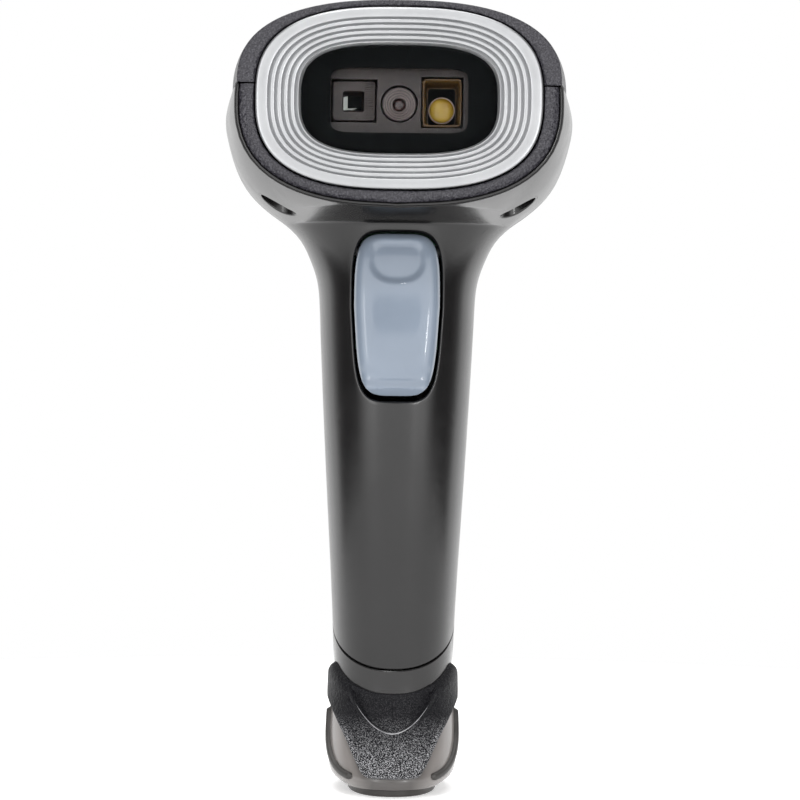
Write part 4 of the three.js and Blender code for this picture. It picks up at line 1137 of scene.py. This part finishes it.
# ---- scanning engine -----------------------------------------------------------------------------
def lathe(profile, centre_x, centre_z, sides=64):
    """Rings about an axis along Y from (radius, depth) pairs."""
    turn = around(sides)
    return np.array([stack(centre_x + radius * np.cos(turn), depth, centre_z + radius * np.sin(turn))
                     for radius, depth in profile])


def centre_of(node):
    low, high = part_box(node)
    return (low.x + high.x) / 2 / MM, low.y / MM, high.y / MM, (low.z + high.z) / 2 / MM


def lens_barrel():
    """Barrel with fine stepped rings down to its small stop."""
    x, front, back, z = centre_of("lens_barrel")
    profile = [(3.42, back), (3.42, front + 0.12), (3.3, front)]
    for step in range(6):
        radius, depth = 3.1 - 0.32 * step, front + 0.24 * step
        profile += [(radius, depth), (radius - 0.12, depth + 0.03), (radius - 0.16, depth + 0.2)]
    profile += [(1.28, front + 1.75), (1.2, front + 1.8), (1.2, back), (3.42, back)]
    Skin().grid(lathe(profile, x, z), closed=True).piece(
        "lens_barrel_skin", "lens_barrel", "engine_plastic", sharp=30)
    # thin tori on the stepped edges, lighter than the barrel: painted highlights where the steps catch the
    # light
    rings = Skin()
    for step in range(4):
        radius, depth = 3.0 - 0.48 * step, front + 0.36 * step - 0.01
        edge = [(radius + 0.11, depth), (radius, depth - 0.09), (radius - 0.11, depth),
                (radius, depth + 0.09), (radius + 0.11, depth)]
        rings.grid(lathe(edge, x, z), closed=True)
    rings.piece("lens_ring_edges", None, "engine_plastic", sharp=80, finish="ring_edge_highlight")


FACET = 0.02  # how far the emitter's round is drawn towards a square, as a share


def led():
    """Square-cornered yellow emitter under a flattened dome with a pale rim."""
    x, front, back, z = centre_of("illumination_led")
    profile = [(0.002, front), (1.0, front + 0.03), (1.8, front + 0.14), (2.25, front + 0.36),
               (2.42, front + 0.66), (2.44, front + 0.9), (2.62, front + 0.95), (2.65, front + 1.2),
               (2.65, back), (0.002, back)]
    rows = lathe(profile, x, z)
    turn = around(rows.shape[1])
    facets = 1 - FACET * np.cos(4 * turn)
    middle = np.array([x, 0, z])
    rows = (middle * [1, 0, 1]
            + (rows - middle) * np.stack([facets, facets * 0 + 1, facets], -1) / (1 + FACET))
    Skin().grid(rows, closed=True).piece(
        "illumination_led_skin", "illumination_led", "led_yellow", sharp=40, fill=True)
    rim = [(2.46, front + 0.85), (2.46, front + 0.55), (2.58, front + 0.5), (2.68, front + 0.62),
           (2.68, front + 0.9), (2.46, front + 0.85)]
    Skin().grid(lathe(rim, x, z), closed=True).piece("led_rim", None, "clear_plastic", finish="pale_rim")


def boxy_rows(x, z, half_w, half_h, depths, exponent=10.0, sides=72):
    """Rings of rounded rectangles: (grow, depth) pairs about a centre in the front view."""
    turn = around(sides)
    return np.array([rounded_rectangle(half_w + grow, half_h + grow, z, turn, exponent)
                     + [x, depth, 0] for grow, depth in depths])


def reflector_cup():
    """Square cup whose walls taper to a floor behind the emitter."""
    x, front, back, z = centre_of("reflector_cup")
    low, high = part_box("reflector_cup")
    half_w, half_h = (high.x - low.x) / 2 / MM, (high.z - low.z) / 2 / MM
    rows = boxy_rows(x, z, half_w, half_h, [
        (0, back), (0, front + 0.15), (-0.12, front), (-0.30, front), (-0.42, front + 0.2),
        (-0.6, front + 2.0), (-0.8, back - 1.8), (-1.0, back - 1.2)], 14.0)
    # the amber colour paints the emitter's yellow light reflected in the walls
    Skin().grid(capped(rows), closed=True).piece(
        "reflector_cup_skin", "reflector_cup", "amber_reflector", fill=True)
    mat = boxy_rows(x, z, half_w - 1.2, half_h - 1.2, [(0, back - 1.25), (0, back - 1.4)], 14.0)
    Skin().grid(capped(mat), closed=True).piece(
        "reflector_floor", None, "engine_plastic", fill=True, finish="window_mask")


AIMER_OPENING = {"x": -9.1, "z": 140.8, "half_w": 2.1, "half_h": 2.0}


def aimer_block():
    """Block with a bright-lipped square opening and a column of fine ribs beside it."""
    x, front, back, z = centre_of("aimer_block")
    low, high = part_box("aimer_block")
    half_w, half_h = (high.x - low.x) / 2 / MM, (high.z - low.z) / 2 / MM
    turn = around(72)
    shell = boxy_rows(x, z, half_w, half_h, [(0, back), (0, front + 0.2), (-0.2, front)], 14.0)
    gap = AIMER_OPENING
    opening = [rounded_rectangle(gap["half_w"] + grow, gap["half_h"] + grow, gap["z"], turn, 12.0)
               + [gap["x"], depth, 0] for grow, depth in
               ((0.1, front), (0.0, front + 0.1), (-0.1, front + 1.2), (-0.5, front + 3.0),
                (-0.6, back - 1.2))]
    Skin().grid(capped([*shell, *opening]), closed=True).piece(
        "aimer_block_skin", "aimer_block", "engine_plastic", fill=True)
    lining = []
    for across, up in ((-1, 0.35), (-1, -0.9), (-0.1, -0.9)):
        corner = np.array([gap["x"] + across * gap["half_w"], 0, gap["z"] + up * gap["half_h"]])
        lining.append([corner + [0.12, front + 0.25, 0.12], corner + [0.85, front + 1.9, 0.6]])
    Skin().grid(np.array(lining)).piece("aimer_lining", None, "clear_plastic", wall=0.08)
    ribs = Skin()
    for level in np.arange(low.z / MM + 0.7, high.z / MM - 0.5, 0.42):
        bar = [[-6.75, front - 0.14, level], [-4.85, front - 0.14, level]]
        side = [[0, 0.2, 0.16], [0, 0, 0.08], [0, 0, -0.08], [0, 0.2, -0.16]]
        ribs.grid(np.array([[np.add(point, offset) for point in bar] for offset in side]))
    ribs.piece("aimer_ribs", None, "engine_plastic", sharp=80)


# ---- scene ---------------------------------------------------------------------------------------
SPECIAL = {"trigger_pin": "dark_steel", "aimer_lens": "window_mask", "aimer_led": "silvered"}


def dress_nodes():
    """Gives each carried-over node the finish of the slot that it was packed with, or a closer one."""
    for name, node in frame["nodes"].items():
        slot = node.data.materials[0].name
        node.data.materials.clear()
        node.data.materials.append(finish_for(SPECIAL.get(name, slot)))


def floor():
    n = Nodes("pale_floor")
    n.set(Base_Color=n.mix(n.spread(n.noise(3.0), 0, 1), (0.86, 0.86, 0.86), (0.88, 0.88, 0.88)),
          Roughness=n.spread(n.noise(60.0), 0.7, 0.8), Emission_Color=(1.0, 1.0, 1.0),
          Emission_Strength=0.45)
    count = 96
    turn = around(count)
    rows = np.array([stack(r * np.cos(turn), r * np.sin(turn), 0.0) for r in (1.0, 120.0, 300.0)])
    points = rows.reshape(-1, 3) * MM
    faces = [[r * count + c, r * count + (c + 1) % count,
              (r + 1) * count + (c + 1) % count, (r + 1) * count + c]
             for r in range(2) for c in range(count)] + [list(range(count))[::-1]]
    mesh = bpy.data.meshes.new("floor")
    mesh.from_pydata(points.tolist(), [], faces)
    thing = bpy.data.objects.new("floor", mesh)
    mesh.materials.append(n.material)
    bpy.context.scene.collection.objects.link(thing)


def soft_light(name, place, target, size, power_w):
    """White rectangular light of a size in metres, turned from its place towards a target."""
    data = bpy.data.lights.new(name, "AREA")
    data.shape, data.size, data.size_y = "RECTANGLE", size[0], size[1]
    data.energy = power_w
    thing = bpy.data.objects.new(name, data)
    thing.location = place
    way = type(thing.location)(target) - thing.location
    thing.rotation_euler = way.to_track_quat("-Z", "Y").to_euler()
    bpy.context.scene.collection.objects.link(thing)


# What the studio shows in each direction, from straight ahead of the scanner (0) to behind it (1).
SURROUND = ((0.0, 0.72), (0.06, 0.95), (0.13, 1.0), (0.20, 0.40), (0.28, 0.03), (0.50, 0.02),
            (0.62, 0.12), (0.75, 0.60), (0.88, 0.60), (1.0, 0.36))
SURROUND_STRENGTH = 2.6
FADE = {"From Min": 0.30, "From Max": 0.60, "To Min": 1.0, "To Max": 0.45}  # towards the top
DARK_SPOT = {"towards": (0.0, -0.994, 0.107), "from": 0.075, "to": 0.13}


def world():
    """Studio surround: light ahead and behind, dark at the sides, and a dark spot that the pane mirrors."""
    sky = bpy.data.worlds.new("studio")
    bpy.context.scene.world = sky
    sky.use_nodes = True
    tree = sky.node_tree
    tree.nodes.clear()
    add, link = tree.nodes.new, tree.links.new
    place = add("ShaderNodeTexCoord").outputs["Generated"]
    parts = add("ShaderNodeSeparateXYZ")
    link(place, parts.inputs[0])
    round_share = add("ShaderNodeMapRange")
    round_share.inputs["From Min"].default_value = -1.0
    link(parts.outputs["Y"], round_share.inputs["Value"])
    ramp = add("ShaderNodeValToRGB")
    link(round_share.outputs["Result"], ramp.inputs[0])
    stops = ramp.color_ramp.elements
    while len(stops) < len(SURROUND):
        stops.new(0.5)
    for stop, (position, level) in zip(stops, SURROUND):
        stop.position, stop.color = position, (level, level, level, 1)
    apart = add("ShaderNodeVectorMath")
    apart.operation = "DISTANCE"
    apart.inputs[1].default_value = DARK_SPOT["towards"]
    link(place, apart.inputs[0])
    spot = add("ShaderNodeMapRange")
    spot.interpolation_type = "SMOOTHSTEP"
    spot.inputs["From Min"].default_value = DARK_SPOT["from"]
    spot.inputs["From Max"].default_value = DARK_SPOT["to"]
    spot.inputs["To Min"].default_value = 0.05
    spot.inputs["To Max"].default_value = SURROUND_STRENGTH
    link(apart.outputs["Value"], spot.inputs["Value"])
    room, seen, mix = add("ShaderNodeBackground"), add("ShaderNodeBackground"), add("ShaderNodeMixShader")
    fade = add("ShaderNodeMapRange")
    link(parts.outputs["Z"], fade.inputs["Value"])
    for key, number in FADE.items():
        fade.inputs[key].default_value = number
    shade = add("ShaderNodeMix")
    shade.data_type, shade.blend_type = "RGBA", "MULTIPLY"
    shade.inputs["Factor"].default_value = 1.0
    link(ramp.outputs["Color"], shade.inputs[6])
    link(fade.outputs["Result"], shade.inputs[7])
    link(shade.outputs[2], room.inputs["Color"])
    link(spot.outputs["Result"], room.inputs["Strength"])
    seen.inputs["Color"].default_value = (1, 1, 1, 1)
    ray = add("ShaderNodeLightPath")
    link(ray.outputs["Is Camera Ray"], mix.inputs[0])
    link(room.outputs[0], mix.inputs[1])
    link(seen.outputs[0], mix.inputs[2])
    link(mix.outputs[0], add("ShaderNodeOutputWorld").inputs["Surface"])


CAMERA = {"lens": 126.4, "sensor": 36.0, "place": (0.00084, -0.590, 0.0816), "roll": -0.67}


def camera():
    data = bpy.data.cameras.new("view")
    data.lens, data.sensor_width = CAMERA["lens"], CAMERA["sensor"]
    data.clip_start, data.clip_end = 0.05, 20.0
    thing = bpy.data.objects.new("view", data)
    thing.location = CAMERA["place"]
    thing.rotation_euler = (math.pi / 2, math.radians(CAMERA["roll"]), 0)
    bpy.context.scene.collection.objects.link(thing)
    bpy.context.scene.camera = thing


def lights():
    middle = (0, 0, 0.09)
    soft_light("overhead", (0.0, 0.05, 1.1), middle, (1.0, 1.0), 11.0)
    soft_light("strip_right", (0.29, -0.62, 0.072), middle, (0.02, 0.18), 0.45)
    soft_light("strip_left", (-0.36, -0.62, 0.10), middle, (0.12, 0.3), 0.35)
    soft_light("spark", (-0.06, -0.45, 0.62), (0, -0.025, 0.115), (0.06, 0.06), 0.8)


camera()
world()
lights()
floor()
dress_nodes()
front_shell()
rear_shell()
foot_cap()
top_cover()
cover_lip()
nose_bumper()
bezel_ring()
window()
trigger()
foot_guard()
foot_strips()
base_plate()
lens_barrel()
led()
reflector_cup()
aimer_block()
bpy.context.scene.view_settings.view_transform = "Standard"
